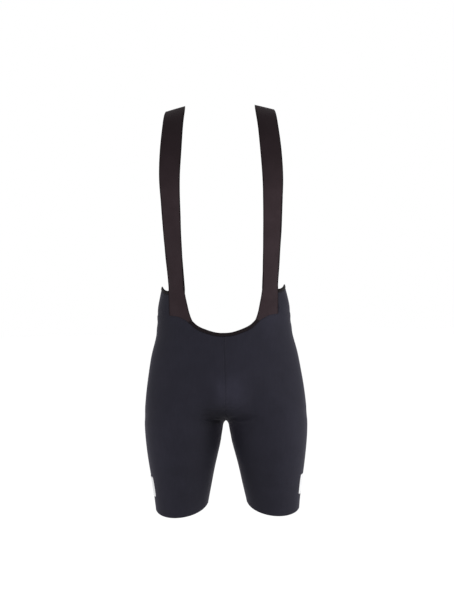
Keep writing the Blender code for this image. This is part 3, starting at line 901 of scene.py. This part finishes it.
def knit_material():
    """Smooth warp knit: fine loops in columns, a dry nap, a slow unevenness of tone, and painted
    light and shade.
    """
    look = dict(roughness=0.80, specular_ior_level=0.12)
    sheen = dict(sheen_weight=0.06, sheen_roughness=0.34, sheen_tint=NAVY_SHEEN)
    shader = Shader("navy_knit", **look, **sheen)
    across, down = shader.cloth_place()
    from_middle = abs((across / WALE_MM).part() - 0.5)
    loop = (down / COURSE_MM + from_middle).wave()
    loops = (1 - (from_middle * 2) ** 2.0) * 0.65 + loop * 0.35
    yarn = shader.noise(scale=1100.0, detail=2.0)
    patches = shader.noise(scale=26.0, detail=4.0, roughness=0.55)
    stretched = shader.vector("MULTIPLY", {0: shader.place(), 1: STREAKS})
    streaks = shader.noise(scale=1.0, detail=3.0, place=stretched)
    tone = patches.between(0.32, 0.70) * 0.55 + streaks.between(0.30, 0.74) * 0.25 + yarn * 0.20
    colour = shader.blend(loops.between(0.0, 0.35), NAVY_DEEP, shader.blend(tone, NAVY, NAVY_WORN))
    grain = loops + yarn * 0.5
    return shader.finish(shader.shaded(colour), patches * 0.12 + 0.72, grain, 0.00005, 0.55)


def elastic_material():
    """Woven strap elastic: ribs along it, fine picks across it, a dark woven edge, and painted
    shade over the shoulder in the edge's dark colour.
    """
    look = dict(roughness=0.84, specular_ior_level=0.10)
    sheen = dict(sheen_weight=0.03, sheen_roughness=0.40, sheen_tint=BROWN_SHEEN)
    shader = Shader("strap_elastic", **look, **sheen)
    across, down = shader.cloth_place()
    rib_place = across / ELASTIC_RIB_MM
    rib = rib_place.wave()
    pick = (down / ELASTIC_PICK_MM + rib_place.part() * 0.5).wave()
    yarn = shader.noise(scale=900.0, detail=2.0)
    patches = shader.noise(scale=30.0, detail=4.0)
    tone = patches.between(0.30, 0.72) * 0.5 + rib * 0.25 + yarn * 0.25
    colour = shader.blend(shader.shade(), shader.blend(tone, BROWN, BROWN_LIGHT), BROWN_EDGE_AND_SHADE)
    weave = rib * 0.7 + pick * 0.5 + yarn * 0.4
    return shader.finish(colour, patches * 0.10 + 0.78, weave, 0.00010, 0.6)


def binding_material():
    """Folded elastic binding: close cross ribs, nearly black, and darker still by painted shade on
    the waist bindings.
    """
    look = dict(roughness=0.70, specular_ior_level=0.07)
    sheen = dict(sheen_weight=0.010, sheen_roughness=0.40, sheen_tint=BINDING_SHEEN)
    shader = Shader("dark_binding", **look, **sheen)
    across, down = shader.cloth_place()
    rib = (across / TAPE_RIB_MM).wave()
    yarn = shader.noise(scale=1000.0, detail=2.0)
    tone = shader.noise(scale=60.0, detail=3.0) * 0.5 + rib * 0.3 + yarn * 0.2
    colour = shader.shaded(shader.blend(tone, BINDING_DARK, BINDING_LIGHT))
    weave = rib * 0.7 + (down / TAPE_PICK_MM).wave() * 0.3 + yarn * 0.4
    return shader.finish(colour, yarn * 0.16 + 0.58, weave, 0.00009, 0.6)


def thread_material(name, colour):
    """Sewing thread: two plies laid round each other."""
    shader = Shader(name, sheen_weight=0.05, specular_ior_level=0.20)
    fibre = shader.noise(scale=2400.0, detail=2.0)
    light = rgb(*(channel * PLY_LIGHT for channel in colour[:3]))
    return shader.finish(shader.blend(fibre, colour, light), 0.60, fibre, 0.00006, 0.6)


def tab_material():
    """Reflective transfer: glass beads in a white film, with a pressed honeycomb."""
    look = dict(roughness=0.42, specular_ior_level=0.5, coat_weight=0.15, coat_roughness=0.35)
    shader = Shader("reflective_white", **look)
    cell = {"Vector": shader.place(), "Scale": 420.0, "Randomness": 0.25}
    cells = shader.node("ShaderNodeTexVoronoi", {"feature": "DISTANCE_TO_EDGE"}, cell)
    beads = shader.noise(scale=2600.0, detail=2.0)
    pressed = (1 - cells.between(0.02, 0.10)) * 0.35 + beads * 0.25
    film = shader.blend(pressed, TAB_WHITE, TAB_GREY)
    colour = shader.blend(shader.shade() * 0.6, film, TAB_GREY)
    grain = beads * 0.5 + cells.between(0.0, 0.12)
    return shader.finish(colour, beads * 0.2 + 0.34, grain, 0.00005, 0.5)


# ---- Meshes ----

JOINED = 2e-6  # points closer together than this are one


def cloth_mesh(name, sheets, material, mirrored=False):
    """An open mesh of one or more grids, with their UVs and shades, merged where they meet."""
    shape = bmesh.new()
    uv_layer = shape.loops.layers.uv.new("cloth")
    shade_layer = shape.verts.layers.float.new("shade")
    for grid, uv, shade in sheets:
        points = grid * (-1, 1, 1) if mirrored else grid
        rows, columns = points.shape[:2]
        verts = [[shape.verts.new(point) for point in row] for row in points]
        for row in range(rows):
            for column in range(columns):
                verts[row][column][shade_layer] = shade[row, column]
        for row in range(rows - 1):
            for column in range(columns - 1):
                below, beside = row + 1, column + 1
                corners = [(row, column), (row, beside), (below, beside), (below, column)]
                if not mirrored:
                    corners.reverse()
                face = shape.faces.new([verts[r][c] for r, c in corners])
                for loop, (r, c) in zip(face.loops, corners):
                    loop[uv_layer].uv = uv[r, c]
    bmesh.ops.remove_doubles(shape, verts=shape.verts, dist=JOINED)
    mesh = bpy.data.meshes.new(name)
    shape.to_mesh(mesh)
    shape.free()
    mesh.shade_smooth()
    mesh.materials.append(material)
    return mesh


def place_object(name, data):
    placed = bpy.data.objects.new(name, data)
    bpy.context.scene.collection.objects.link(placed)
    return placed


def even(grid):
    return np.zeros(grid.shape[:2])


# ---- The knit panels ----

GROOVE_Z = -0.582  # where the centre-front seam lies deepest
GROOVE_LENGTH = 0.050
FLAT_SEAM = 0.22  # of a seam's dip, left where this seam lies flat
GROOVE_DIP = 0.88  # of a seam's dip, added at the groove
BOUND_DIP = 0.0006
HEM_ROLL = 0.0010
HEM_ROLL_WIDTH = 0.0022
SEWN_HOLD_LENGTH = 0.030  # the cloth's own unevenness starts this far from a sewn edge
KNIT_WAVE_HEIGHT = 0.0010
KNIT_WAVE_LENGTH = 0.11


def front_seam_dip(z):
    """The centre-front seam lies flat but for a groove below the waist."""
    groove = np.exp(-(((z - GROOVE_Z) / GROOVE_LENGTH) ** 4))
    return SEAM_DIP * (FLAT_SEAM + GROOVE_DIP * groove)


class Panel:
    """One side's knit: the finer grids of its main part and of the part between the straps.

    first and last are the columns of the main part at the straps' outer seams.
    """

    def __init__(self, name, seed):
        self.name = name
        coarse = panel_grid()
        rows = places(len(coarse) - 1, PANEL_ROW_SPLITS, PULLED_ROWS)
        columns = places(COLUMNS, PANEL_COLUMN_SPLITS, PULLED_COLUMNS)
        self.first = int(np.searchsorted(columns, FRONT_CORNER))
        self.last = int(np.searchsorted(columns, BACK_CORNER))
        self.middle = int(np.searchsorted(columns, COLUMNS / 2))
        self.between = slice(self.first, self.last + 1)
        self.crotch = int(np.searchsorted(rows, HIP_ROWS + CROTCH_ROWS))
        self.main = finer_panel(coarse, rows, columns)
        side_rows = places(SIDE_ROWS, SIDE_ROW_SPLITS, dense_end=False)
        self.side = finer(side_grid(), side_rows, columns[self.between] - FRONT_CORNER)
        self.side[-1] = self.main[0, self.between]
        self.main, self.side = self.shaped(seed)
        self.close()

    def shaped(self, seed):
        """Both grids with their seams, creases and unevenness."""
        main, side = self.main, self.side
        top = (main[0, : self.first + 1], side[::-1, 0], side[0], side[:, -1], main[0, self.last :])
        trims = np.concatenate(top)
        for points in (main, side):
            relief = Relief(points)
            to_trim, to_middle = near_path(points, trims)[0], points[..., 0]
            away = smoothstep(to_trim / SEWN_HOLD_LENGTH) * smoothstep(to_middle / SEWN_HOLD_LENGTH)
            relief.seam(trims, BOUND_DIP)
            relief.seam(main[::2, 0], front_seam_dip(points[..., 2]), SEAM_BEAD)
            relief.seam(main[::2, -1], SEAM_DIP, SEAM_BEAD)
            relief.seam(main[-1], HEM_ROLL, width=HEM_ROLL_WIDTH)
            lay_creases(relief, self.name)
            relief.uneven(seed, KNIT_WAVE_HEIGHT, KNIT_WAVE_LENGTH, away)
            yield relief.raised()

    def close(self):
        """The leg is closed along its inseam, and the body ends on the garment's middle."""
        body, tube = self.main[: self.crotch + 1], self.main[self.crotch :]
        tube[:, 0] = tube[:, -1] = (tube[:, 0] + tube[:, -1]) / 2
        body[:, [0, -1], 0] = 0.0
        self.side[-1] = self.main[0, self.between]
        for grid in (self.main, self.side):
            grid[..., 0] = np.maximum(grid[..., 0], 0.0)

    def sheets(self):
        main_uv = cloth_uv(self.main, self.middle)
        side_uv = cloth_uv(self.side, self.middle - self.first)
        side_uv[..., 1] -= side_uv[-1:, :, 1]
        pairs = ((self.main, main_uv), (self.side, side_uv))
        # the knit's painted light and shade at each point
        return [(grid, uv, tone(grid, self.name)) for grid, uv in pairs]


# ---- Straps, bindings and tabs ----

SELVEDGE = 0.0031  # the strap's dark woven edge
SEWN_SELVEDGE = 0.55  # how dark it is where it is let in, against its free length
SELVEDGE_BEAD = 0.00022
BEAD_WIDTH = 0.0012
SHOULDER_PAINTED_SHADE = 0.70  # painted shade: how much darker the elastic is over the shoulder, where it turns up away from the light
SHOULDER_FOOT_Z = -0.190
SHOULDER_RISE = 0.140
SHOULDER_EASE = 0.6  # below 1, it darkens early on the way up
STRAP_SEAM_DIP = 0.0008
SEAM_LAP = 0.0004  # how far a strap's let-in end laps the panel's edges
SEAM_REACH = 0.020  # of a strap above its end seam, over which it is eased onto the panel's edge
LET_IN_LENGTH = 0.055  # of a strap, before its own waves begin
STRAP_WAVE_HEIGHT = 0.0012
STRAP_WAVE_LENGTH = 0.085


def strap_seam(end_row, columns, panel_columns):
    """A strap's end seam: along the end of the neck binding, then along the panel's own edge."""
    edge = spline(range(COLUMNS + 1), panel_grid()[0], panel_columns) - (0, 0, SEAM_LAP)
    beside_binding = mix(end_row[0], end_row[1], columns[:, None])
    return np.where(columns[:, None] < 1, beside_binding, edge)


def strap_sheet(seed):
    """The finer strap with its selvedges, the slight wave of worn elastic, and painted shade over
    the shoulder.
    """
    coarse = np.concatenate([strap_base(BACK), strap_free()[::-1], strap_base(FRONT)[::-1]])
    rows = places(len(coarse) - 1, STRAP_SPLITS)
    columns = places(coarse.shape[1] - 1, STRAP_SPLITS)
    grid = finer_by_run(coarse, rows, columns)
    down = run_down(grid)
    up = down[-1:] - down
    sewn_columns = NECK_COLUMNS - 1 + columns
    for end, panel_columns, to_seam in ((0, COLUMNS - sewn_columns, down), (-1, sewn_columns, up)):
        offset = strap_seam(coarse[end], columns, panel_columns) - grid[end]
        grid += (1 - smoothstep(to_seam / SEAM_REACH))[..., None] * offset
    lap = grid[:, -1] - grid[:, -2]
    lap *= SEAM_LAP / np.linalg.norm(lap, axis=-1, keepdims=True)
    let_in = 1 - smoothstep((grid[:, -1, 2] - WAIST_VALLEY_Z) / SEAM_REACH)
    grid[:, -1] += lap * let_in[:, None]
    across = run_along(grid)
    to_edge = np.minimum(across, across[:, -1:] - across)
    free = smoothstep((np.minimum(down, up) - LET_IN_LENGTH) / SEAM_REACH)
    relief, waves = Relief(grid), Relief(grid)
    bead_foot = 1 - smoothstep((to_edge - BEAD_WIDTH) / BEAD_WIDTH)
    relief.height += SELVEDGE_BEAD * (smoothstep(to_edge / (BEAD_WIDTH / 2)) * bead_foot)
    relief.seam(grid[0], STRAP_SEAM_DIP)
    relief.seam(grid[-1], STRAP_SEAM_DIP)
    waves.uneven(seed, STRAP_WAVE_HEIGHT, STRAP_WAVE_LENGTH)
    relief.height += waves.height * free
    edge_shade = 1 - smoothstep((to_edge - SELVEDGE / 2) / (SELVEDGE / 2))
    # painted shade over the shoulder, growing towards the top
    rise = np.clip((grid[..., 2] - SHOULDER_FOOT_Z) / SHOULDER_RISE, 0, 1)
    shoulder_painted_shade = SHOULDER_PAINTED_SHADE * rise**SHOULDER_EASE
    shade = np.maximum(edge_shade * mix(SEWN_SELVEDGE, 1.0, free), shoulder_painted_shade)
    return relief.raised(), cloth_uv(grid, grid.shape[1] // 2), shade


BINDING_COLUMN_SPLITS = 8
BINDING_ROWS = 8
BINDING_FOLD_STEPS = 8
BINDING_RAISE = 0.0005  # how far a binding stands out from the panel
BINDING_CROWN = 0.00045
CROWN_START = 0.1  # how far up its crown the binding is at the open edge
TAPE_WALL = 0.00115  # of the tape, which is folded in half over the edge
PULL_LENGTH = 0.011  # between the small swells along a bound edge
PULL_HEIGHT = 0.00010


def neck_edges(end):
    """The sewn edge and the open edge of a neck binding over its full width."""
    count = NECK_COLUMNS * BINDING_COLUMN_SPLITS
    sewn_x, sewn_z = along(end.sewn, np.linspace(0, JUNCTION, count + 1))
    neck_x, neck_z = along(end.neck, np.linspace(0, len(end.neck) - 1, count + 1))
    fold = BINDING_WALL / 2 / BINDING_WIDTH
    share = np.linspace(1 - fold, SEAM / BINDING_WIDTH, BINDING_ROWS + 1)[:, None]
    half = on_body(mix(sewn_x, neck_x, share), mix(sewn_z, neck_z, share), end.side)
    whole = np.concatenate([half[:, :0:-1] * (-1, 1, 1), half], axis=1)
    return whole if end.side < 0 else whole[:, ::-1]


def side_band():
    """The binding of the raised side edge, from the open edge down to the panel."""
    u = row_shares(SIDE_COLUMNS * BINDING_COLUMN_SPLITS)
    drop = np.linspace(BINDING_WALL / 2, BINDING_WIDTH - SEAM, BINDING_ROWS + 1)[:, None]
    z = side_edge_z(u) - drop
    return grid_of(*body_point(side_share(u, z), z), z)


def folded_binding(grid, seed):
    """The outer surface of a tape folded over the open edge: up the inside, over, and down."""
    normal = outward(grid)
    share = column_shares(len(grid) - 1)
    phase = np.random.default_rng(seed).uniform(0, 6)
    pulls = PULL_HEIGHT * np.sin(2 * math.pi * run_along(grid) / PULL_LENGTH + phase)
    crown = BINDING_CROWN * np.sin(math.pi * np.clip(mix(CROWN_START, 1, share), 0, 1))
    raise_by = (BINDING_RAISE + crown + pulls)[..., None]
    outside = grid + normal * raise_by
    inside = grid + normal * (raise_by - BINDING_WALL)
    up = unit(grid[0] - grid[1])
    centre = (outside[0] + inside[0]) / 2
    radius = BINDING_WALL / 2
    angles = np.linspace(0, math.pi, BINDING_FOLD_STEPS + 1)[1:-1]
    fold = [centre - normal[0] * math.cos(a) * radius + up * math.sin(a) * radius for a in angles]
    return np.concatenate([inside[::-1], np.array(fold), outside]), outside


TAB_STEPS = 24
TAB_CORNER = 0.09  # how much the tab's corners are rounded
TAB_GAP = 0.0003
TAB_EDGE = 0.10  # of the tab's half width, where it is worn grey
TAB_PRESSED = 0.05  # the same, where it is pressed down
TAB_PRESS = 0.00035


def tab_sheet():
    """The reflective tab, its corners rounded, standing just out from the leg."""
    steps = np.linspace(-1, 1, TAB_STEPS + 1)
    u, v = steps[None, :], steps[:, None]
    across = u * np.sqrt(1 - TAB_CORNER * v**4)
    down = v * np.sqrt(1 - TAB_CORNER * u**4)
    angle = mix(TAB_FRONT_ANGLE, TAB_BACK_ANGLE, (across + 1) / 2)
    z = mix(TAB_TOP_Z, TAB_BOTTOM_Z, (down + 1) / 2)
    grid = grid_of(*leg_point(0.5 + angle / (2 * math.pi), z), z)
    inset = np.minimum(1 - np.abs(u), 1 - np.abs(v))
    stand = TAB_WALL + TAB_GAP - TAB_PRESS * (1 - smoothstep(inset / TAB_PRESSED))
    raised = grid + outward(grid) * stand[..., None]
    return raised, cloth_uv(raised, TAB_STEPS // 2), 1 - smoothstep(inset / TAB_EDGE)


# ---- Stitches ----

STITCH_LENGTH = 0.0021
PANEL_PITCH = 0.0026  # from one stitch to the next
BINDING_PITCH = 0.0028
PANEL_SLANT = 0.35  # in radians, to one side and the other in turn
THREAD_WIDTH = 0.00042
THREAD_LIFT = 0.00012  # of the thread's middle above the cloth
CENTRE_LINE = 0.0024  # from a centre seam to its stitches
EDGE_LINE = 0.0022  # from the panel's other edges
SIDE_LINE = 0.0018
BINDING_LINES = (0.0012, 0.0036)  # from a binding's sewn edge


def stitch_tree():
    """Geometry Nodes: short threads at an even pitch along each path, lying on the cloth."""
    group = bpy.data.node_groups.new("stitch_line", "GeometryNodeTree")
    sizes = [(name, "Float") for name in ("Pitch", "Stitch Length", "Thread Width", "Slant")]
    for name, kind in [("Geometry", "Geometry"), *sizes, ("Thread", "Material")]:
        group.interface.new_socket(name, in_out="INPUT", socket_type="NodeSocket" + kind)
    group.interface.new_socket("Geometry", in_out="OUTPUT", socket_type="NodeSocketGeometry")
    tree = Tree(group)
    add = tree.node
    sockets = group.nodes.new("NodeGroupInput").outputs
    given = {socket.name: Value(tree, socket) for socket in sockets}
    width = given["Thread Width"]
    curve = add("GeometryNodeMeshToCurve", {}, {"Mesh": given["Geometry"]})
    pitched = {"Curve": curve, "Length": given["Pitch"]}
    spaced = add("GeometryNodeResampleCurve", {"mode": "LENGTH"}, pitched)
    points = add("GeometryNodeCurveToPoints", {"mode": "EVALUATED"}, {"Curve": spaced})
    lie = add("GeometryNodeInputNamedAttribute", {"data_type": "FLOAT_VECTOR"}, {"Name": "outward"})
    tangent = {"Vector": points.beside("Tangent")}
    ahead = add("FunctionNodeAlignRotationToVector", {"axis": "X"}, tangent)
    laid = {"Rotation": ahead, "Vector": lie}
    flat = add("FunctionNodeAlignRotationToVector", {"axis": "Z", "pivot_axis": "X"}, laid)
    slant = (add("GeometryNodeInputIndex") % 2.0 * 2.0 - 1.0) * given["Slant"]
    turn = add("ShaderNodeCombineXYZ", {}, {"Z": slant})
    rotation = add("FunctionNodeRotateRotation", {"rotation_space": "LOCAL"}, {0: flat, 1: turn})
    ball = add("GeometryNodeMeshUVSphere", {}, {"Segments": 6, "Rings": 4, "Radius": 0.5})
    size = add("ShaderNodeCombineXYZ", {}, {"X": given["Stitch Length"], "Y": width, "Z": width})
    stitch = {"Points": points, "Instance": ball, "Rotation": rotation, "Scale": size}
    placed = add("GeometryNodeInstanceOnPoints", {}, stitch)
    real = add("GeometryNodeRealizeInstances", {}, {"Geometry": placed})
    smooth = add("GeometryNodeSetShadeSmooth", {}, {"Geometry": real})
    threaded = add("GeometryNodeSetMaterial", {}, {"Geometry": smooth, "Material": given["Thread"]})
    tree.connect(group.nodes.new("NodeGroupOutput").inputs["Geometry"], threaded)
    return group


def sew(name, paths, thread, pitch, slant):
    """A piece of thread along these paths: each is the points and the outward directions there."""
    mesh = bpy.data.meshes.new(name + "_paths")
    points, directions, edges = [], [], []
    for path, outwards in paths:
        first = len(points)
        points += [tuple(point) for point in path + outwards * THREAD_LIFT]
        directions += [tuple(direction) for direction in outwards]
        edges += [(first + i, first + i + 1) for i in range(len(path) - 1)]
    mesh.from_pydata(points, edges, [])
    layer = mesh.attributes.new("outward", "FLOAT_VECTOR", "POINT")
    layer.data.foreach_set("vector", np.array(directions, np.float32).ravel())
    guide = place_object(name + "_guide", mesh)
    modifier = guide.modifiers.new("stitches", "NODES")
    modifier.node_group = STITCHES
    values = {"Pitch": pitch, "Stitch Length": STITCH_LENGTH, "Thread Width": THREAD_WIDTH}
    values |= {"Slant": slant, "Thread": thread}
    for item in STITCHES.interface.items_tree:
        if item.name in values and item.in_out == "INPUT":
            modifier[item.identifier] = values[item.name]
    evaluated = guide.evaluated_get(bpy.context.evaluated_depsgraph_get())
    sewn = bpy.data.meshes.new_from_object(evaluated)
    sewn.name = name
    bpy.data.objects.remove(guide, do_unlink=True)
    return place_object(name, sewn)


def path_on(grid, distance, edge, part=slice(None), flip=(1, 1, 1)):
    """A line this far inside one edge of a grid, with the outward directions along it."""
    normal = outward(grid)
    if edge in ("top", "bottom"):
        grid, normal = turned(grid), turned(normal)
    if edge in ("bottom", "end"):
        grid, normal = grid[:, ::-1], normal[:, ::-1]
    line, directions = [], []
    for points, outwards, run in zip(grid[part], normal[part], run_along(grid[part])):
        line.append([np.interp(distance, run, points[:, axis]) for axis in range(3)])
        directions.append([np.interp(distance, run, outwards[:, axis]) for axis in range(3)])
    return np.array(line) * flip, unit(np.array(directions)) * flip


# ---- The pieces ----

CUT_SHARE = 1.22  # the worn knit's area against the area it was cut to
PANEL_CUT = (0.400, 0.500)
STRAP_CUT_WIDTH = 0.038
STRAP_STRETCH = 1.1
TAPE_WIDTH = 0.0150  # of the binding before it is folded
SIDE_TAPE = 0.115
NECK_TAPE = 0.150
TAB_CUT = (0.038, 0.045)
WAIST_BINDING_PAINTED_SHADE = 0.45  # painted shade: how much darker the waist binding is than the neck's, against the side light it catches
SEEDS = {"left": 11, "right": 23, "front": 31, "back": 37}

STITCHES = stitch_tree()
knit = knit_material()
elastic = elastic_material()
binding = binding_material()
navy_thread = thread_material("navy_thread", THREAD_DARK)
black_thread = thread_material("black_thread", BINDING_DARK)
reflective = tab_material()


def surface_area(*grids):
    area = 0.0
    for grid in grids:
        a = grid[:-1, 1:] - grid[:-1, :-1]
        b = grid[1:, :-1] - grid[:-1, :-1]
        area += np.linalg.norm(np.cross(a, b), axis=-1).sum()
    return area


def cloth_piece(name, sheets, material, wall, node, slot, mirrored=False, **cut):
    """A cloth of this thickness, laid inwards from its outer surface, in place of a solid."""
    piece = place_object(name, cloth_mesh(name, sheets, material, mirrored))
    solid = piece.modifiers.new("wall", "SOLIDIFY")
    solid.thickness = wall
    solid.offset = -1
    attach(piece, "root")
    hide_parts(node)


def binding_piece(name, edges, seed, node, shade, length, rests_on, mirrored=False):
    """A binding of tape, and its outer half for the stitches. The tape's length is not used."""
    band, outside = folded_binding(edges, seed)
    # the painted shade of a waist binding, and none on the neck's
    sheets = [(band, cloth_uv(band), even(band) - shade)]
    cut = dict(flat=(TAPE_WIDTH, length), held="stretched", rests_on=rests_on)
    cloth_piece(name, sheets, binding, TAPE_WALL, node, "binding", mirrored, **cut)
    return outside


panel_paths, binding_paths = [], []
for name in ("left", "right"):
    mirrored = name == "right"
    flip = (-1, 1, 1) if mirrored else (1, 1, 1)
    panel = Panel(name, SEEDS[name])
    cut_area = surface_area(panel.main, panel.side) / CUT_SHARE
    cloth_piece(
        f"knit_{name}", panel.sheets(), knit, KNIT_WALL, f"shorts_{name}", "knit", mirrored,
        flat=PANEL_CUT, held="stretched", rests_on=[f"strap_{name}"], area=cut_area,
    )

    strap = strap_sheet(SEEDS[name] + 1)
    strap_length = surface_area(strap[0]) / STRAP_CUT_WIDTH / STRAP_STRETCH
    cloth_piece(
        f"elastic_{name}", [strap], elastic, STRAP_WALL, f"strap_{name}", "strap_elastic", mirrored,
        flat=(STRAP_CUT_WIDTH, strap_length), held="stretched",
    )

    side_binding = binding_piece(
        f"waist_binding_{name}", side_band(), SEEDS[name] + 2, f"side_binding_{name}",
        WAIST_BINDING_PAINTED_SHADE, SIDE_TAPE, [f"knit_{name}"], mirrored,
    )

    cloth_piece(
        f"reflective_{name}", [tab_sheet()], reflective, TAB_WALL, f"reflective_tab_{name}",
        "reflective_film", mirrored, flat=TAB_CUT, held="laid", rests_on=[f"knit_{name}"],
    )

    for grid, distance, edge, part in (
        (panel.main, CENTRE_LINE, "start", slice(None)),
        (panel.main, CENTRE_LINE, "end", slice(None)),
        (panel.main, EDGE_LINE, "top", slice(0, panel.first + 1)),
        (panel.main, EDGE_LINE, "top", slice(panel.last, None)),
        (panel.side, EDGE_LINE, "start", slice(None)),
        (panel.side, EDGE_LINE, "end", slice(None)),
        (panel.side, SIDE_LINE, "top", slice(None)),
    ):
        panel_paths.append(path_on(grid, distance, edge, part, flip))
    binding_paths += [path_on(side_binding, line, "bottom", flip=flip) for line in BINDING_LINES]

for name, end in (("front", FRONT), ("back", BACK)):
    neck_binding = binding_piece(
        f"neck_binding_{name}", neck_edges(end), SEEDS[name], f"{name}_binding",
        0.0, NECK_TAPE, ["knit_left", "knit_right"],
    )
    binding_paths += [path_on(neck_binding, line, "bottom") for line in BINDING_LINES]

for piece, slot in (
    (sew("panel_stitches", panel_paths, navy_thread, PANEL_PITCH, PANEL_SLANT), "knit"),
    (sew("binding_stitches", binding_paths, black_thread, BINDING_PITCH, 0.0), "binding"),
):
    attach(piece, "root")

# ---- Floor, light and camera ----

EYE_Z = -0.422
EYE_DISTANCE = 3.0
EYE_ACROSS = 0.0075
EYE_ROLL = math.radians(1.1)
PICTURE_HEIGHT = 1.32  # metres of the middle plane that the picture's height takes in
SENSOR_HEIGHT = 36.0
FLOOR_Z = -1.45
FLOOR_RADIUS = 40.0
FLOOR_SIDES = 48
LIT_PLACE = np.array((0.0, 0.0, -0.5))
LIGHTS = (  # place, width and height, and watts
    ("key_softbox", (2.0, -2.4, 0.4), (1.4, 1.8), 24.0),
    ("right_side", (2.9, -0.4, -0.2), (0.7, 2.0), 24.0),
    ("left_side", (-2.9, -0.4, -0.2), (0.7, 2.0), 7.0),
)


def add_floor():
    """A pale floor that reaches the white room's horizon."""
    mesh = bpy.data.meshes.new("studio_floor")
    turns = np.linspace(0, 2 * math.pi, FLOOR_SIDES + 1)[:-1]
    rim = [(FLOOR_RADIUS * math.cos(a), FLOOR_RADIUS * math.sin(a), FLOOR_Z) for a in turns]
    mesh.from_pydata(rim, [], [tuple(range(len(rim)))])
    glow = dict(emission_color=WHITE, emission_strength=0.14)
    shader = Shader("pale_floor", base_color=PALE, roughness=0.9, specular_ior_level=0.1, **glow)
    mesh.materials.append(shader.material)
    place_object("studio_floor", mesh)


def add_light(name, place, size, watts):
    lamp = bpy.data.lights.new(name, "AREA")
    lamp.shape = "RECTANGLE"
    lamp.size, lamp.size_y = size
    lamp.energy = watts
    light = place_object(name, lamp)
    light.location = place
    x, y, z = LIT_PLACE - place
    light.rotation_euler = (math.atan2(math.hypot(x, y), -z), 0.0, math.atan2(-x, y))


def add_camera():
    lens = bpy.data.cameras.new("camera")
    lens.sensor_fit = "VERTICAL"
    lens.sensor_height = SENSOR_HEIGHT
    lens.lens = SENSOR_HEIGHT * EYE_DISTANCE / PICTURE_HEIGHT
    camera = place_object("camera", lens)
    camera.location = (EYE_ACROSS, -EYE_DISTANCE, EYE_Z)
    camera.rotation_euler = (math.pi / 2, EYE_ROLL, 0.0)
    bpy.context.scene.camera = camera


def add_room():
    """White all round, and colours shown as they are."""
    world = bpy.data.worlds.new("studio")
    bpy.context.scene.world = world
    world.use_nodes = True
    background = world.node_tree.nodes["Background"]
    background.inputs["Color"].default_value = WHITE
    background.inputs["Strength"].default_value = 1.0
    bpy.context.scene.view_settings.view_transform = "Standard"


add_floor()
for light in LIGHTS:
    add_light(*light)
add_room()
add_camera()
